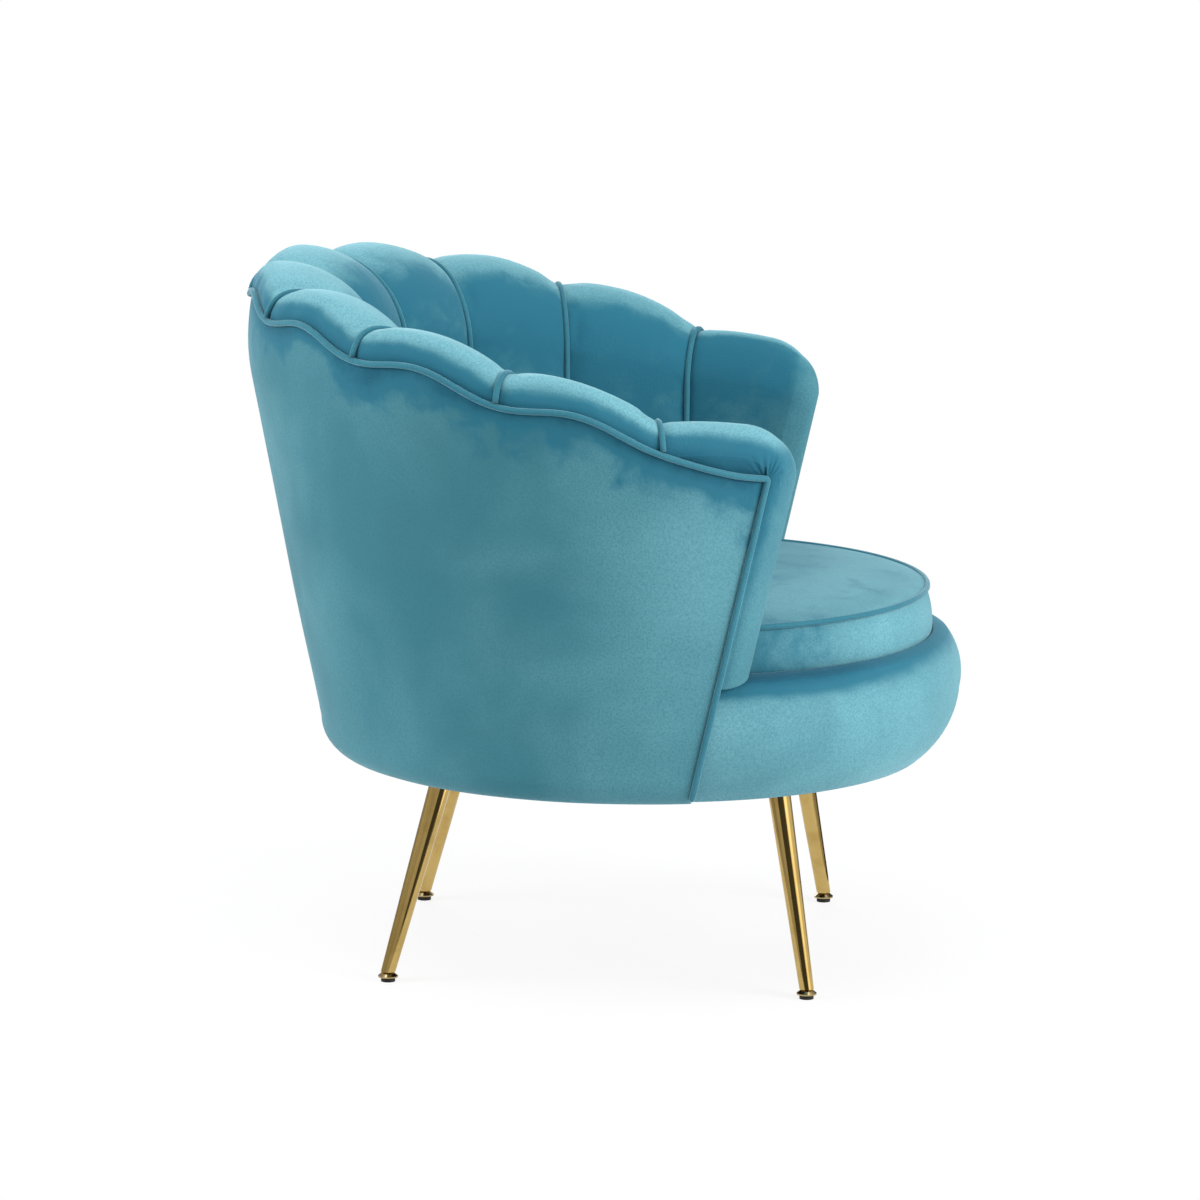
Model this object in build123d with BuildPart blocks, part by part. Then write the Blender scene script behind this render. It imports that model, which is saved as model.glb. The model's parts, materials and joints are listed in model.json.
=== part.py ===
from build123d import *
import os
from math import sin, cos, radians, sqrt

# Velvet channel-back armchair, millimetres.
# Floor at z = 0, front towards -Y, the sitter's left towards +X.

os.makedirs("parts", exist_ok=True)

# Seat cushion: its radius sets the width of the whole chair
CUSHION_R = 271.5
CUSHION_H = 58.6
CROWN_H = 15.0
CUSHION_ROOM = 9.5
CORD = 3.0
GAP = 0.3

# Wall at the foot of the back, from the inside of the petals to the outer panel
WALL = 35.2
PANEL = 5.0
POST_OUT = PANEL + 1.4
POST_IN = POST_OUT + 22.0
LINER_OUT = POST_IN + 1.0
LINER_IN = LINER_OUT + 3.0
PETAL_BACK = LINER_IN + 1.0

# Seat frame, from the bottom up
BASE_BOTTOM = 212.0
RING_STEP = 6.0
RING_LOW_T = 18.0
SPACER_H = 60.0
RING_HIGH_T = 15.0
STRAP_W = 50.0
STRAP_T = 1.2
DECK_PAD = 15.4
COVER = 1.6
RING_LOW = BASE_BOTTOM + RING_STEP
RING_HIGH = RING_LOW + RING_LOW_T + SPACER_H
RING_TOP = RING_HIGH + RING_HIGH_T
BASE_DECK = RING_TOP + DECK_PAD
CUSHION_TOP = BASE_DECK + CUSHION_H
CUSHION_CROWN = CUSHION_TOP + CROWN_H

# Inside of the back and arms
INNER_R = CUSHION_R + CUSHION_ROOM
INNER_FLARE = 0.03
SWELL = 9.0
PETAL_FOOT = RING_TOP + GAP
INNER_TOP = 80.0
LIP_H = 30.0

# Rim of the back and the petals
PITCH = 25.75
PETALS = 8
LAST_SEAM = 103.0
RIM_TOP = 704.8
RIM_DROP = 104.9654
CREST = 16.0
ROLL = 27.0
RIM_STEP = 1.0
SEAM_GAP = 0.05
FRONT_TURN = 119.0
ARM_RISE = 10.0
ARM_FALL = 18.0
ARM_DROP = 18.0
FRAME_TOP = RIM_TOP - 120.8
FRAME_SLOPE = 0.2418
RAIL_H = 42.0

# Outer shell: a leaning cone, wider and further back towards the rim
SHELL_Z = BASE_BOTTOM - 8.0
SHELL_R = INNER_R + WALL
SHELL_Y = -31.1
SHELL_FLARE = 0.1272
SHELL_RAKE = 0.0715
LEAN_Z = RIM_TOP - 104.8
LEAN_H = 90.0
LEAN = 20.0
LEVEL_STEP = LEAN_H / 3
SHELL_LEVELS = [LEAN_Z + LEVEL_STEP * k for k in range(5)]

# Middles of the seat, the base, the cushion and the rings
SEAT_Y = SHELL_Y - 26.9
BASE_Y = SEAT_Y + 6.2
CUSHION_Y = SEAT_Y - 3.0
RING_Y = SHELL_Y + 3.1

# Front edge of the arms: a plane leaning forward towards the top
EDGE_Z = BASE_BOTTOM + 12.0
EDGE_Y = SHELL_Y - 79.9
EDGE_SLANT = 0.223
NOSE = 24.0
NOSE_BROW = 7.0
NOSE_DROP = 24.0

# Rings inside the liner, and the base that swells out in front of them
RING_CLEAR = 2.1
RING_LOW_R = SHELL_R + SHELL_FLARE * (RING_LOW - SHELL_Z) - LINER_IN - RING_CLEAR
RING_HIGH_R = SHELL_R + SHELL_FLARE * (RING_HIGH - SHELL_Z) - LINER_IN - RING_CLEAR
RING_W = 97.4
RING_HOLE = RING_HIGH_R - RING_W
BASE_SWELL = 23.6
BASE_R = RING_HIGH_R + BASE_SWELL
DECK_R = INNER_R - 5.0

# Legs and glides: plate inside the edge of the lower ring, turn from the middle, lean
LEG_END = 10.3
LEG_R_LOW = 7.4
LEG_R_HIGH = 11.5
LEG_WALL = 1.5
PLATE_T = 3.0
PLATE_R = 30.0
DUST_T = 0.8
PLATE_Z = RING_LOW - DUST_T - PLATE_T
FRONT_INSET = 37.05
FRONT_ANGLE = 131.216
REAR_INSET = 47.04
REAR_ANGLE = 40.773
LEAN_FRONT = (0.16, -0.16)
LEAN_REAR = (0.15, 0.267)
SCREW_RING = 22.0
STUD_R = 2.95
STUD_TOP = LEG_END + 13.7
PAD_R = 7.25
PAD_T = 3.0


def save(piece, label):
    piece.label = label
    export_step(piece, f"parts/{label}.step")


def shell_radius(z):
    """Straight flare, drawn in towards the top of the back."""
    lean = max(0.0, (z - LEAN_Z) / LEAN_H)
    return SHELL_R + SHELL_FLARE * (z - SHELL_Z) - LEAN * lean**2


def shell_centre(z):
    return SHELL_Y + SHELL_RAKE * (z - SHELL_Z)


def inner_radius(z):
    return INNER_R + INNER_FLARE * (z - BASE_DECK)


def radial_plane(turn):
    """Upright plane through the z axis, turned from the back towards +X."""
    x = sin(radians(turn))
    y = cos(radians(turn))
    return Plane(origin=(0, 0, 0), x_dir=(x, y, 0), z_dir=(y, -x, 0))


def arm_plane(side, share, ahead=0.0):
    """Plane between the last seam (share 0) and the arm's front edge (share 1)."""
    turn = radians(LAST_SEAM + (90.0 - LAST_SEAM) * share)
    slant = EDGE_SLANT * share
    x = side * sin(turn)
    y = cos(turn)
    normal = (y, -x, -slant * x)
    return Plane(origin=(0, EDGE_Y * share - ahead, EDGE_Z), x_dir=(x, y, 0), z_dir=normal)


def rise(plane, z):
    return (z - plane.origin.Z) / plane.y_dir.Z


def reach(plane, z, centre, radius):
    """Distance along the plane's own x to a level circle at height z."""
    b = rise(plane, z)
    x = plane.origin.X + b * plane.y_dir.X
    y = plane.origin.Y + b * plane.y_dir.Y - centre
    along = x * plane.x_dir.X + y * plane.x_dir.Y
    return sqrt(radius**2 - x**2 - y**2 + along**2) - along


def shell_reach(plane, z, depth=0.0):
    return reach(plane, z, shell_centre(z), shell_radius(z) - depth)


def bulge(turn):
    """0 at a seam, 1 in the middle of a petal."""
    u = 2.0 * ((abs(turn) / PITCH) % 1.0) - 1.0
    return 1.0 - u * u


def crest_height(turn):
    return RIM_TOP - RIM_DROP * (turn / LAST_SEAM) ** 2 + CREST * bulge(turn)


def edge_height(turn):
    """Top of the outer panel: below the crest, dropping to the corner of the arm."""
    if abs(turn) > LAST_SEAM:
        share = (abs(turn) - LAST_SEAM) / (FRONT_TURN - LAST_SEAM)
        return arm_crest(share) - ROLL - (ARM_DROP + 3.0) * share
    return crest_height(turn) - ROLL


def frame_top(y):
    """Sloping plane below the rim, where the liner and the rail end."""
    return FRAME_TOP + FRAME_SLOPE * y


def arm_crest(share):
    """Crest of the arm petal, from the last seam to the front edge."""
    return RIM_TOP - RIM_DROP + ARM_RISE * share - ARM_FALL * share**2


def lip_radii(wide):
    """Two eighth arcs that carry the crest over and down to the upright inside."""
    tall = 0.65 * wide + LIP_H
    half = sqrt(0.5)
    lip_r = (half * wide - (1 - half) * tall) / (2 * half - 1)
    side_r = (half * tall - (1 - half) * wide) / (2 * half - 1)
    return lip_r, side_r


def petal_section(plane, crest, puff, upright=0.0):
    """Closed outline of a petal in one plane: foot, wall side, rim, roll, lip, inside."""
    edge = crest - ROLL - upright
    foot = rise(plane, PETAL_FOOT)
    step = rise(plane, edge)
    wall_low = shell_reach(plane, PETAL_FOOT, PETAL_BACK)
    wall_high = shell_reach(plane, edge, PETAL_BACK)
    rim = shell_reach(plane, edge, RIM_STEP)
    hollow = SWELL * (1.0 - puff)
    inner_low = reach(plane, PETAL_FOOT, SEAT_Y, inner_radius(PETAL_FOOT) + hollow)
    top_z = crest - INNER_TOP
    inner_high = reach(plane, top_z, SEAT_Y, inner_radius(top_z) + hollow)
    spring = rise(plane, crest - ROLL)
    roll_r = rise(plane, crest) - spring
    lip_r, side_r = lip_radii(rim - roll_r - inner_high)
    with BuildSketch(plane) as outline:
        with BuildLine():
            Polyline((inner_low, foot), (wall_low, foot), (wall_high, step), (rim, step))
            if upright:
                Line((rim, step), (rim, spring))
            over = JernArc((rim, spring), (0, 1), roll_r, 90)
            lip = JernArc(over @ 1, over % 1, lip_r, 45)
            side = JernArc(lip @ 1, lip % 1, side_r, 45)
            Line(side @ 1, (inner_low, foot))
        make_face()
    return outline.sketch


def edge_cut(ahead=0.0):
    """Plane of the arm front edges, facing the back of the chair."""
    return Plane(
        origin=(0, EDGE_Y - ahead, EDGE_Z), x_dir=(1, 0, 0), z_dir=(0, 1, EDGE_SLANT)
    )


# Eight petals between the seams of the back and sides
for number in range(PETALS):
    start = -LAST_SEAM + PITCH * number
    with BuildPart() as petal:
        outlines = []
        for k in range(5):
            turn = start + PITCH * k / 4
            turn += SEAM_GAP * (1 - k / 2)
            outlines.append(petal_section(radial_plane(turn), crest_height(turn), bulge(turn)))
        loft(outlines)
    save(petal.part, f"petal_{number + 2}")


def base_form(off):
    """Base: bulging front half, flat deck inside the petals; off is the inset."""
    with BuildPart() as form:
        with BuildSketch(Plane.XZ.offset(-BASE_Y)):
            with BuildLine():
                low = (BASE_R - 39.0, BASE_BOTTOM + off)
                shoulder = (BASE_R - off, BASE_DECK - 43.4)
                brow = (BASE_R - 12.0 - 0.7 * off, BASE_DECK + 10.6 - 0.7 * off)
                inside = (BASE_R - 25.0 + 0.7 * off, BASE_DECK + 9.6 - 0.7 * off)
                knee = (BASE_R - 14.0 - 0.7 * off, BASE_BOTTOM + 27.0 + 0.7 * off)
                ThreePointArc(low, knee, shoulder)
                ThreePointArc(shoulder, (BASE_R - off, BASE_DECK - 15.4), brow)
                ThreePointArc(brow, (BASE_R - 18.5, BASE_DECK + 13.6 - off), inside)
                Polyline(
                    inside,
                    (BASE_R - 28.5, BASE_DECK - off),
                    (0, BASE_DECK - off),
                    (0, BASE_BOTTOM + off),
                    low,
                )
            make_face()
        revolve(axis=Axis((0, BASE_Y, 0), (0, 0, 1)))
        split(bisect_by=edge_cut(0.6), keep=Keep.BOTTOM)
        with BuildSketch(Plane.XY.offset(RING_TOP + 2 * STRAP_T + GAP)):
            with Locations((0, SEAT_Y)):
                Circle(DECK_R - off)
        extrude(amount=BASE_DECK - off - RING_TOP - 2 * STRAP_T - GAP)
    return form.part


# Cover and padding of the base
base_outer = base_form(0.0)
with BuildPart() as base_cover:
    add(base_outer)
    add(base_form(COVER), mode=Mode.SUBTRACT)
    with BuildSketch(Plane.XY.offset(BASE_BOTTOM - 1)):
        with Locations((0, RING_Y)):
            Circle(RING_HIGH_R + GAP)
    extrude(amount=RING_TOP - BASE_BOTTOM + 1, mode=Mode.SUBTRACT)
save(base_cover.part, "base_cover")

with BuildPart() as base_pad:
    add(base_form(COVER + 0.2))
    with BuildSketch(Plane.XY.offset(BASE_BOTTOM - 1)):
        with Locations((0, RING_Y)):
            Circle(RING_HIGH_R + GAP)
    extrude(amount=RING_TOP + 2 * STRAP_T + GAP - BASE_BOTTOM + 1, mode=Mode.SUBTRACT)
save(base_pad.part, "base_pad")

# Rounded arm front: distance ahead of the edge, share of the width, drop of the crest
NOSE_STEPS = ((0.0, 1.0, 0.0), (0.6 * NOSE, 0.86, NOSE_BROW), (NOSE, 0.5, NOSE_DROP))


def nose_section(side, ahead, share, drop):
    """Full thickness of the arm in a plane at or ahead of its front edge."""
    edge_plane = arm_plane(side, 1.0)
    plane = arm_plane(side, 1.0, ahead)
    crest = arm_crest(1.0)
    edge = crest - ROLL
    top_z = crest - INNER_TOP
    outer_low = shell_reach(edge_plane, PETAL_FOOT, PANEL - RIM_STEP)
    outer_high = shell_reach(edge_plane, edge, RIM_STEP)
    inner_low = reach(edge_plane, PETAL_FOOT, SEAT_Y, inner_radius(PETAL_FOOT))
    inner_high = reach(edge_plane, top_z, SEAT_Y, inner_radius(top_z))
    trim_low = (outer_low - inner_low) * (1.0 - share) / 2
    trim_high = (outer_high - inner_high) * (1.0 - share) / 2
    foot = rise(plane, PETAL_FOOT)
    rim = (outer_high - trim_high, rise(plane, edge - drop))
    inside = (inner_high + trim_high, rise(plane, top_z - drop))
    wide = rim[0] - inside[0]
    crown = (rim[0] - 0.45 * wide, rise(plane, crest - drop))
    brow = (rim[0] - 0.13 * wide, rise(plane, crest - drop - 0.3 * ROLL))
    lip = (inside[0] + 0.13 * wide, rise(plane, crest - drop - 0.3 * INNER_TOP))
    with BuildSketch(plane) as outline:
        with BuildLine():
            Polyline(inside, (inner_low + trim_low, foot), (outer_low - trim_low, foot), rim)
            ThreePointArc(rim, brow, crown)
            ThreePointArc(crown, lip, inside)
        make_face()
    return outline.sketch


# Arm petals: the last channel on each side with its rounded front
for side, number in ((-1, 1), (1, 10)):
    with BuildPart() as arm_petal:
        outlines = []
        for share in (0.0, 0.33, 0.67, 1.0):
            puff = 1.0 - (1.0 - share) ** 2
            plane = arm_plane(side, share)
            if share == 0.0:
                plane = radial_plane(side * (LAST_SEAM + SEAM_GAP))
            upright = 0.5 + (ARM_DROP - 0.5) * share
            outlines.append(petal_section(plane, arm_crest(share), puff, upright))
        loft(outlines)
        noses = [nose_section(side, *step) for step in NOSE_STEPS]
        loft(noses)
        add(base_form(-0.4), mode=Mode.SUBTRACT)
    save(arm_petal.part, f"petal_{number}")


def shell_band(depth_out, depth_in, low):
    """Part of the leaning shell between two depths, from a level up past the rim."""
    with BuildPart() as band:
        for depth, mode in ((depth_out, Mode.ADD), (depth_in, Mode.SUBTRACT)):
            for z in (low, *SHELL_LEVELS):
                with BuildSketch(Plane.XY.offset(z)):
                    with Locations((0, shell_centre(z))):
                        Circle(shell_radius(z) - depth)
            loft(ruled=True, mode=mode)
    return band.part


def above_rim(turn):
    """Radial slice of everything above the top edge of the outer panel."""
    low = edge_height(turn) - 2.0
    high = RIM_TOP + 55.0
    inside = SHELL_R - 66.0
    outside = SHELL_R + 104.0
    with BuildSketch(radial_plane(turn)) as shape:
        with BuildLine():
            Polyline((inside, low), (outside, low), (outside, high), (inside, high), close=True)
        make_face()
    return shape.sketch


# Outer panel: turned in at the bottom, scalloped along the rim
TURN_R = 34.0
BEND = BASE_BOTTOM + TURN_R
with BuildPart() as scallops:
    loft([above_rim(PITCH * k / 4) for k in range(-21, 22)], ruled=True)

with BuildPart() as outer_panel:
    add(shell_band(0.0, PANEL, BEND))
    with BuildSketch(Plane.XZ.offset(-shell_centre(BEND))):
        with BuildLine():
            hub = shell_radius(BEND) - TURN_R
            outside = JernArc((hub, BASE_BOTTOM), (1, 0), TURN_R, 90)
            inside = JernArc((hub, BASE_BOTTOM + PANEL), (1, 0), TURN_R - PANEL, 90)
            Line(outside @ 0, inside @ 0)
            Line(outside @ 1, inside @ 1)
        make_face()
    revolve(axis=Axis((0, shell_centre(BEND), 0), (0, 0, 1)))
    split(bisect_by=edge_cut(-GAP), keep=Keep.TOP)
    add(scallops.part, mode=Mode.SUBTRACT)
save(outer_panel.part, "outer_panel")


def hoop(depth_out, depth_in, low, drop=0.0):
    """Band of the shell below the sloping frame top; drop limits its height."""
    slope = (0, -FRAME_SLOPE, 1)
    with BuildPart() as band:
        add(shell_band(depth_out, depth_in, low))
        top = Plane(origin=(0, 0, FRAME_TOP), x_dir=(1, 0, 0), z_dir=slope)
        split(bisect_by=top, keep=Keep.BOTTOM)
        if drop:
            bottom = Plane(origin=(0, 0, FRAME_TOP - drop), x_dir=(1, 0, 0), z_dir=slope)
            split(bisect_by=bottom, keep=Keep.TOP)
        split(bisect_by=edge_cut(-GAP), keep=Keep.TOP)
    return band.part


# Inner liner, and the rail along the top between liner and panel
LINER_LOW = BASE_BOTTOM + 10.0
save(hoop(LINER_OUT, LINER_IN, LINER_LOW), "inner_liner")
save(hoop(PANEL + 1.5, LINER_OUT - GAP, LINER_LOW, RAIL_H), "rim_rail")

# Seven back posts, one behind each inner seam, square to the shell
POST_LOW = BASE_BOTTOM + 30.0
RAIL_R = SHELL_R + 23.8
for number in range(7):
    turn = radians(PITCH * (number - 3))
    with BuildPart() as post:
        reach_y = RAIL_R * cos(turn) + SHELL_Y + 7.1
        for z in (POST_LOW, frame_top(reach_y) - RAIL_H - 12.0):
            middle = shell_radius(z) - (POST_OUT + POST_IN) / 2
            spot = (middle * sin(turn), shell_centre(z) + middle * cos(turn), z)
            across = (cos(turn), -sin(turn), 0)
            with BuildSketch(Plane(origin=spot, x_dir=across, z_dir=(0, 0, 1))):
                Rectangle(40.0, POST_IN - POST_OUT)
        loft(ruled=True)
    save(post.part, f"back_post_{number + 1}")

# Two arm posts behind the front edges of the panel
ARM_POST_OUT = PANEL + 0.25
ARM_POST_IN = POST_IN - 4.0
for side, name in ((-1, "right"), (1, "left")):
    with BuildPart() as post:
        for z in (POST_LOW, frame_top(EDGE_Y - 70.0) - RAIL_H - 4.0):
            y = EDGE_Y - EDGE_SLANT * (z - EDGE_Z)
            corners = []
            for back, depth in (
                (2.0, ARM_POST_IN),
                (2.0, ARM_POST_OUT),
                (34.0, ARM_POST_OUT),
                (34.0, ARM_POST_IN),
            ):
                radius = shell_radius(z) - depth
                x = side * sqrt(radius**2 - (y + back - shell_centre(z)) ** 2)
                corners.append((x, y + back))
            with BuildSketch(Plane.XY.offset(z)):
                with BuildLine():
                    Polyline(*corners, close=True)
                make_face()
        loft(ruled=True)
    save(post.part, f"arm_post_{name}")

# Piping in the nine seams between the petals
CHANNEL_LIFT = 4.3
CHANNEL_END = CUSHION_CROWN + 2.0


def channel_route(turn):
    """Line of the piping in one seam, over the rim and down the inside."""
    plane = radial_plane(turn)
    crest = RIM_TOP - RIM_DROP * (turn / LAST_SEAM) ** 2
    edge = crest - ROLL
    rim = shell_reach(plane, edge, RIM_STEP)
    top_z = crest - INNER_TOP
    inner_high = reach(plane, top_z, SEAT_Y, inner_radius(top_z) + SWELL)
    inner_low = reach(plane, CHANNEL_END, SEAT_Y, inner_radius(CHANNEL_END) + SWELL)
    lip_r, side_r = lip_radii(rim - ROLL - inner_high)
    roll_r = ROLL + CHANNEL_LIFT
    lead = radians(22.0)
    with BuildLine() as route:
        first = (rim - ROLL + roll_r * cos(lead), edge + roll_r * sin(lead))
        over = JernArc(first, (-sin(lead), cos(lead)), roll_r, 68)
        lip = JernArc(over @ 1, over % 1, lip_r + CHANNEL_LIFT, 45)
        side = JernArc(lip @ 1, lip % 1, side_r + CHANNEL_LIFT, 45)
        Line(side @ 1, (inner_low - CHANNEL_LIFT, CHANNEL_END))
    return plane.from_local_coords(route.wire())


ROUTES = [channel_route(PITCH * k) for k in range(-4, 5)]
with BuildPart() as channel_piping:
    for route in ROUTES:
        with BuildSketch(Plane(origin=route @ 0, z_dir=route % 0)):
            Circle(CORD)
        sweep(path=route)
save(channel_piping.part, "channel_piping")

# Piped edge of the outer panel: scalloped rim, then down each arm front
CORNER_Z = RIM_TOP - 158.8
FRONT_LOW = EDGE_Z + 2.0
FRONT_SHARES = (1.0, 0.92, 0.81, 0.67, 0.48, 0.29, 0.11, 0.0)
FRONT_STOPS = [FRONT_LOW + (CORNER_Z - FRONT_LOW) * share for share in FRONT_SHARES]


def rim_point(turn):
    plane = radial_plane(turn)
    z = edge_height(turn) + 2.0
    out = shell_reach(plane, z) + CORD + 0.6
    return (out * sin(radians(turn)), out * cos(radians(turn)), z)


def front_point(side, z):
    y = EDGE_Y - EDGE_SLANT * (z - EDGE_Z)
    radius = shell_radius(z) + CORD + 0.6
    return (side * sqrt(radius**2 - (y - shell_centre(z)) ** 2), y, z)


RIM_STOPS = [rim_point(PITCH * k / 2) for k in range(-8, 9)]
RIM_STOPS = [rim_point(-111.0), *RIM_STOPS, rim_point(111.0)]
RIM_LINE = Edge.make_spline([front_point(-1, CORNER_Z), *RIM_STOPS, front_point(1, CORNER_Z)])
FRONT_LINES = [Edge.make_spline([front_point(side, z) for z in FRONT_STOPS]) for side in (-1, 1)]
RIM_ROUNDS = 40
with BuildPart() as outer_piping:
    for line in FRONT_LINES:
        with BuildSketch(Plane(origin=line @ 0, z_dir=line % 0)):
            Circle(CORD)
        sweep(path=line)
    with Locations(front_point(-1, CORNER_Z), front_point(1, CORNER_Z)):
        Sphere(CORD + 0.3)
    rounds = []
    for k in range(RIM_ROUNDS + 1):
        share = k / RIM_ROUNDS
        station = Plane(origin=RIM_LINE @ share, x_dir=(0, 0, 1), z_dir=RIM_LINE % share)
        with BuildSketch(station) as disc:
            Circle(CORD)
        rounds.append(disc.sketch)
    loft(rounds)
save(outer_piping.part, "outer_piping")

# Feet: plates on the lower ring, each leg leaning outwards from its plate to the floor
LEGS = {
    "front_right": (-1, FRONT_INSET, FRONT_ANGLE, LEAN_FRONT),
    "front_left": (1, FRONT_INSET, FRONT_ANGLE, LEAN_FRONT),
    "rear_right": (-1, REAR_INSET, REAR_ANGLE, LEAN_REAR),
    "rear_left": (1, REAR_INSET, REAR_ANGLE, LEAN_REAR),
}
PLATES = {}
FEET = {}
for foot, (side, inset, angle, lean) in LEGS.items():
    px = side * (RING_LOW_R - inset) * sin(radians(angle))
    py = RING_Y + (RING_LOW_R - inset) * cos(radians(angle))
    drop = PLATE_Z - LEG_END
    PLATES[foot] = (px, py)
    FEET[foot] = (px + side * lean[0] * drop, py + lean[1] * drop, side * lean[0], lean[1])


SCREWS = []
for foot in FEET:
    for k in range(4):
        cx, cy = PLATES[foot]
        angle = radians(45 + 90 * k)
        SCREWS.append((cx + SCREW_RING * cos(angle), cy + SCREW_RING * sin(angle)))

for foot, (x, y, lean_x, lean_y) in FEET.items():
    axis = Vector(-lean_x, -lean_y, 1).normalized()
    length = (PLATE_Z - LEG_END) / axis.Z
    slope = (LEG_R_HIGH - LEG_R_LOW) / length
    with BuildPart() as leg:
        with BuildSketch(Plane(origin=Vector(x, y, LEG_END) - axis * 8, z_dir=axis)):
            Circle(LEG_R_LOW - 8 * slope)
        with BuildSketch(Plane(origin=Vector(x, y, LEG_END) + axis * (length + 8), z_dir=axis)):
            Circle(LEG_R_HIGH + 8 * slope)
        loft()
        split(bisect_by=Plane.XY.offset(LEG_END), keep=Keep.TOP)
        split(bisect_by=Plane.XY.offset(PLATE_Z + 1), keep=Keep.BOTTOM)
        with BuildSketch(Plane(origin=Vector(x, y, LEG_END) + axis * 32, z_dir=axis)):
            Circle(LEG_R_LOW + 32 * slope - LEG_WALL)
        with BuildSketch(Plane(origin=Vector(x, y, LEG_END) + axis * (length - 2), z_dir=axis)):
            Circle(LEG_R_HIGH - 2 * slope - LEG_WALL)
        loft(mode=Mode.SUBTRACT)
        with BuildSketch(Plane.XY.offset(PLATE_Z)):
            with Locations(PLATES[foot]):
                Circle(PLATE_R)
        extrude(amount=PLATE_T)
        with BuildSketch(Plane.XY.offset(PLATE_Z - 1)):
            with Locations(*SCREWS):
                Circle(2.2)
        extrude(amount=PLATE_T + 2, mode=Mode.SUBTRACT)
        with BuildSketch(Plane.XY.offset(LEG_END - 1)):
            with Locations((x, y)):
                Circle(STUD_R + 0.1)
        extrude(amount=STUD_TOP - LEG_END + 4, mode=Mode.SUBTRACT)
    save(leg.part, f"leg_{foot}")

    with BuildPart() as glide_stud:
        with BuildSketch(Plane.XZ.offset(-y)):
            with BuildLine():
                Polyline(
                    (x, 1.4),
                    (x + 4.0, 1.4),
                    (x + 4.0, PAD_T + 0.1),
                    (x + 7.0, PAD_T + 0.1),
                    (x + 10.25, PAD_T + 1.6),
                    (x + 10.25, PAD_T + 3.0),
                    (x + 6.4, LEG_END - 1.2),
                    (x + 5.4, LEG_END - 0.4),
                    (x + STUD_R, LEG_END - 0.4),
                    (x + STUD_R, STUD_TOP - 0.6),
                    (x + STUD_R - 0.6, STUD_TOP),
                    (x, STUD_TOP),
                    close=True,
                )
            make_face()
        revolve(axis=Axis((x, y, 0), (0, 0, 1)))
    save(glide_stud.part, f"glide_stud_{foot}")

    with BuildPart() as glide_pad:
        with BuildSketch(Plane.XY):
            with Locations((x, y)):
                Circle(PAD_R)
        extrude(amount=PAD_T)
        with BuildSketch(Plane.XY.offset(1.3)):
            with Locations((x, y)):
                Circle(4.1)
        extrude(amount=PAD_T, mode=Mode.SUBTRACT)
    save(glide_pad.part, f"glide_pad_{foot}")

with BuildPart() as leg_screws:
    with BuildSketch(Plane.XY.offset(PLATE_Z - 2.2)):
        with Locations(*SCREWS):
            Circle(4.0)
    extrude(amount=2.2)
    with BuildSketch(Plane.XY.offset(PLATE_Z)):
        with Locations(*SCREWS):
            Circle(2.0)
    extrude(amount=16.0)
save(leg_screws.part, "leg_screws")

# Seat frame: two rings, spacer blocks, webbing, dust cover
with BuildPart() as ring_lower:
    with BuildSketch(Plane.XY.offset(RING_LOW)):
        with Locations((0, RING_Y)):
            Circle(RING_LOW_R)
            Circle(RING_HOLE, mode=Mode.SUBTRACT)
        with Locations(*SCREWS):
            Circle(2.1, mode=Mode.SUBTRACT)
    extrude(amount=RING_LOW_T)
save(ring_lower.part, "ring_lower")

with BuildPart() as ring_upper:
    with BuildSketch(Plane.XY.offset(RING_HIGH)):
        with Locations((0, RING_Y)):
            Circle(RING_HIGH_R)
            Circle(RING_HOLE, mode=Mode.SUBTRACT)
    extrude(amount=RING_HIGH_T)
save(ring_upper.part, "ring_upper")

with BuildPart() as spacer_blocks:
    with BuildSketch(Plane.XY.offset(RING_LOW + RING_LOW_T)):
        with Locations((0, RING_Y)):
            with PolarLocations(RING_HIGH_R - 45.4, 8, start_angle=0):
                Rectangle(44.0, 70.0)
    extrude(amount=SPACER_H)
save(spacer_blocks.part, "spacer_blocks")

for label, level, turn in (("webbing_long", 0, 90), ("webbing_cross", 1, 0)):
    with BuildPart() as webbing:
        with BuildSketch(Plane.XY.offset(RING_TOP + level * STRAP_T)):
            for k in range(-2, 3):
                offset = 66.0 * k
                length = 2 * sqrt((RING_HOLE + 34.0) ** 2 - (abs(offset) + STRAP_W / 2) ** 2)
                place = (offset, RING_Y) if turn == 90 else (0, RING_Y + offset)
                with Locations(Location((*place, 0), (0, 0, turn))):
                    Rectangle(length, STRAP_W)
        extrude(amount=STRAP_T)
    save(webbing.part, label)

with BuildPart() as dust_cover:
    with BuildSketch(Plane.XY.offset(RING_LOW - DUST_T)):
        with Locations((0, RING_Y)):
            Circle(RING_LOW_R - 3.4)
        with Locations(*SCREWS):
            Circle(2.3, mode=Mode.SUBTRACT)
    extrude(amount=DUST_T)
save(dust_cover.part, "dust_cover")

STAPLE = 0.6
with BuildPart() as staples:
    with BuildSketch(Plane.XY.offset(RING_LOW - DUST_T - STAPLE)):
        with Locations((0, RING_Y)):
            with PolarLocations(RING_LOW_R - 7.4, 40):
                Rectangle(2 * STAPLE, 10.0)
    extrude(amount=STAPLE)
save(staples.part, "dust_staples")

# Seat cushion: foam, cover, two piped edges and a zip at the back
CUSHION_MIDDLE = BASE_DECK + 29.6


def crown_point(brow, top):
    """Half-way point of a shallow dome that is level over the middle."""
    height = top - brow[1]
    radius = (brow[0] ** 2 + height**2) / (2 * height)
    x = brow[0] / 2
    return (x, top - radius + sqrt(radius**2 - x**2))


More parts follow.
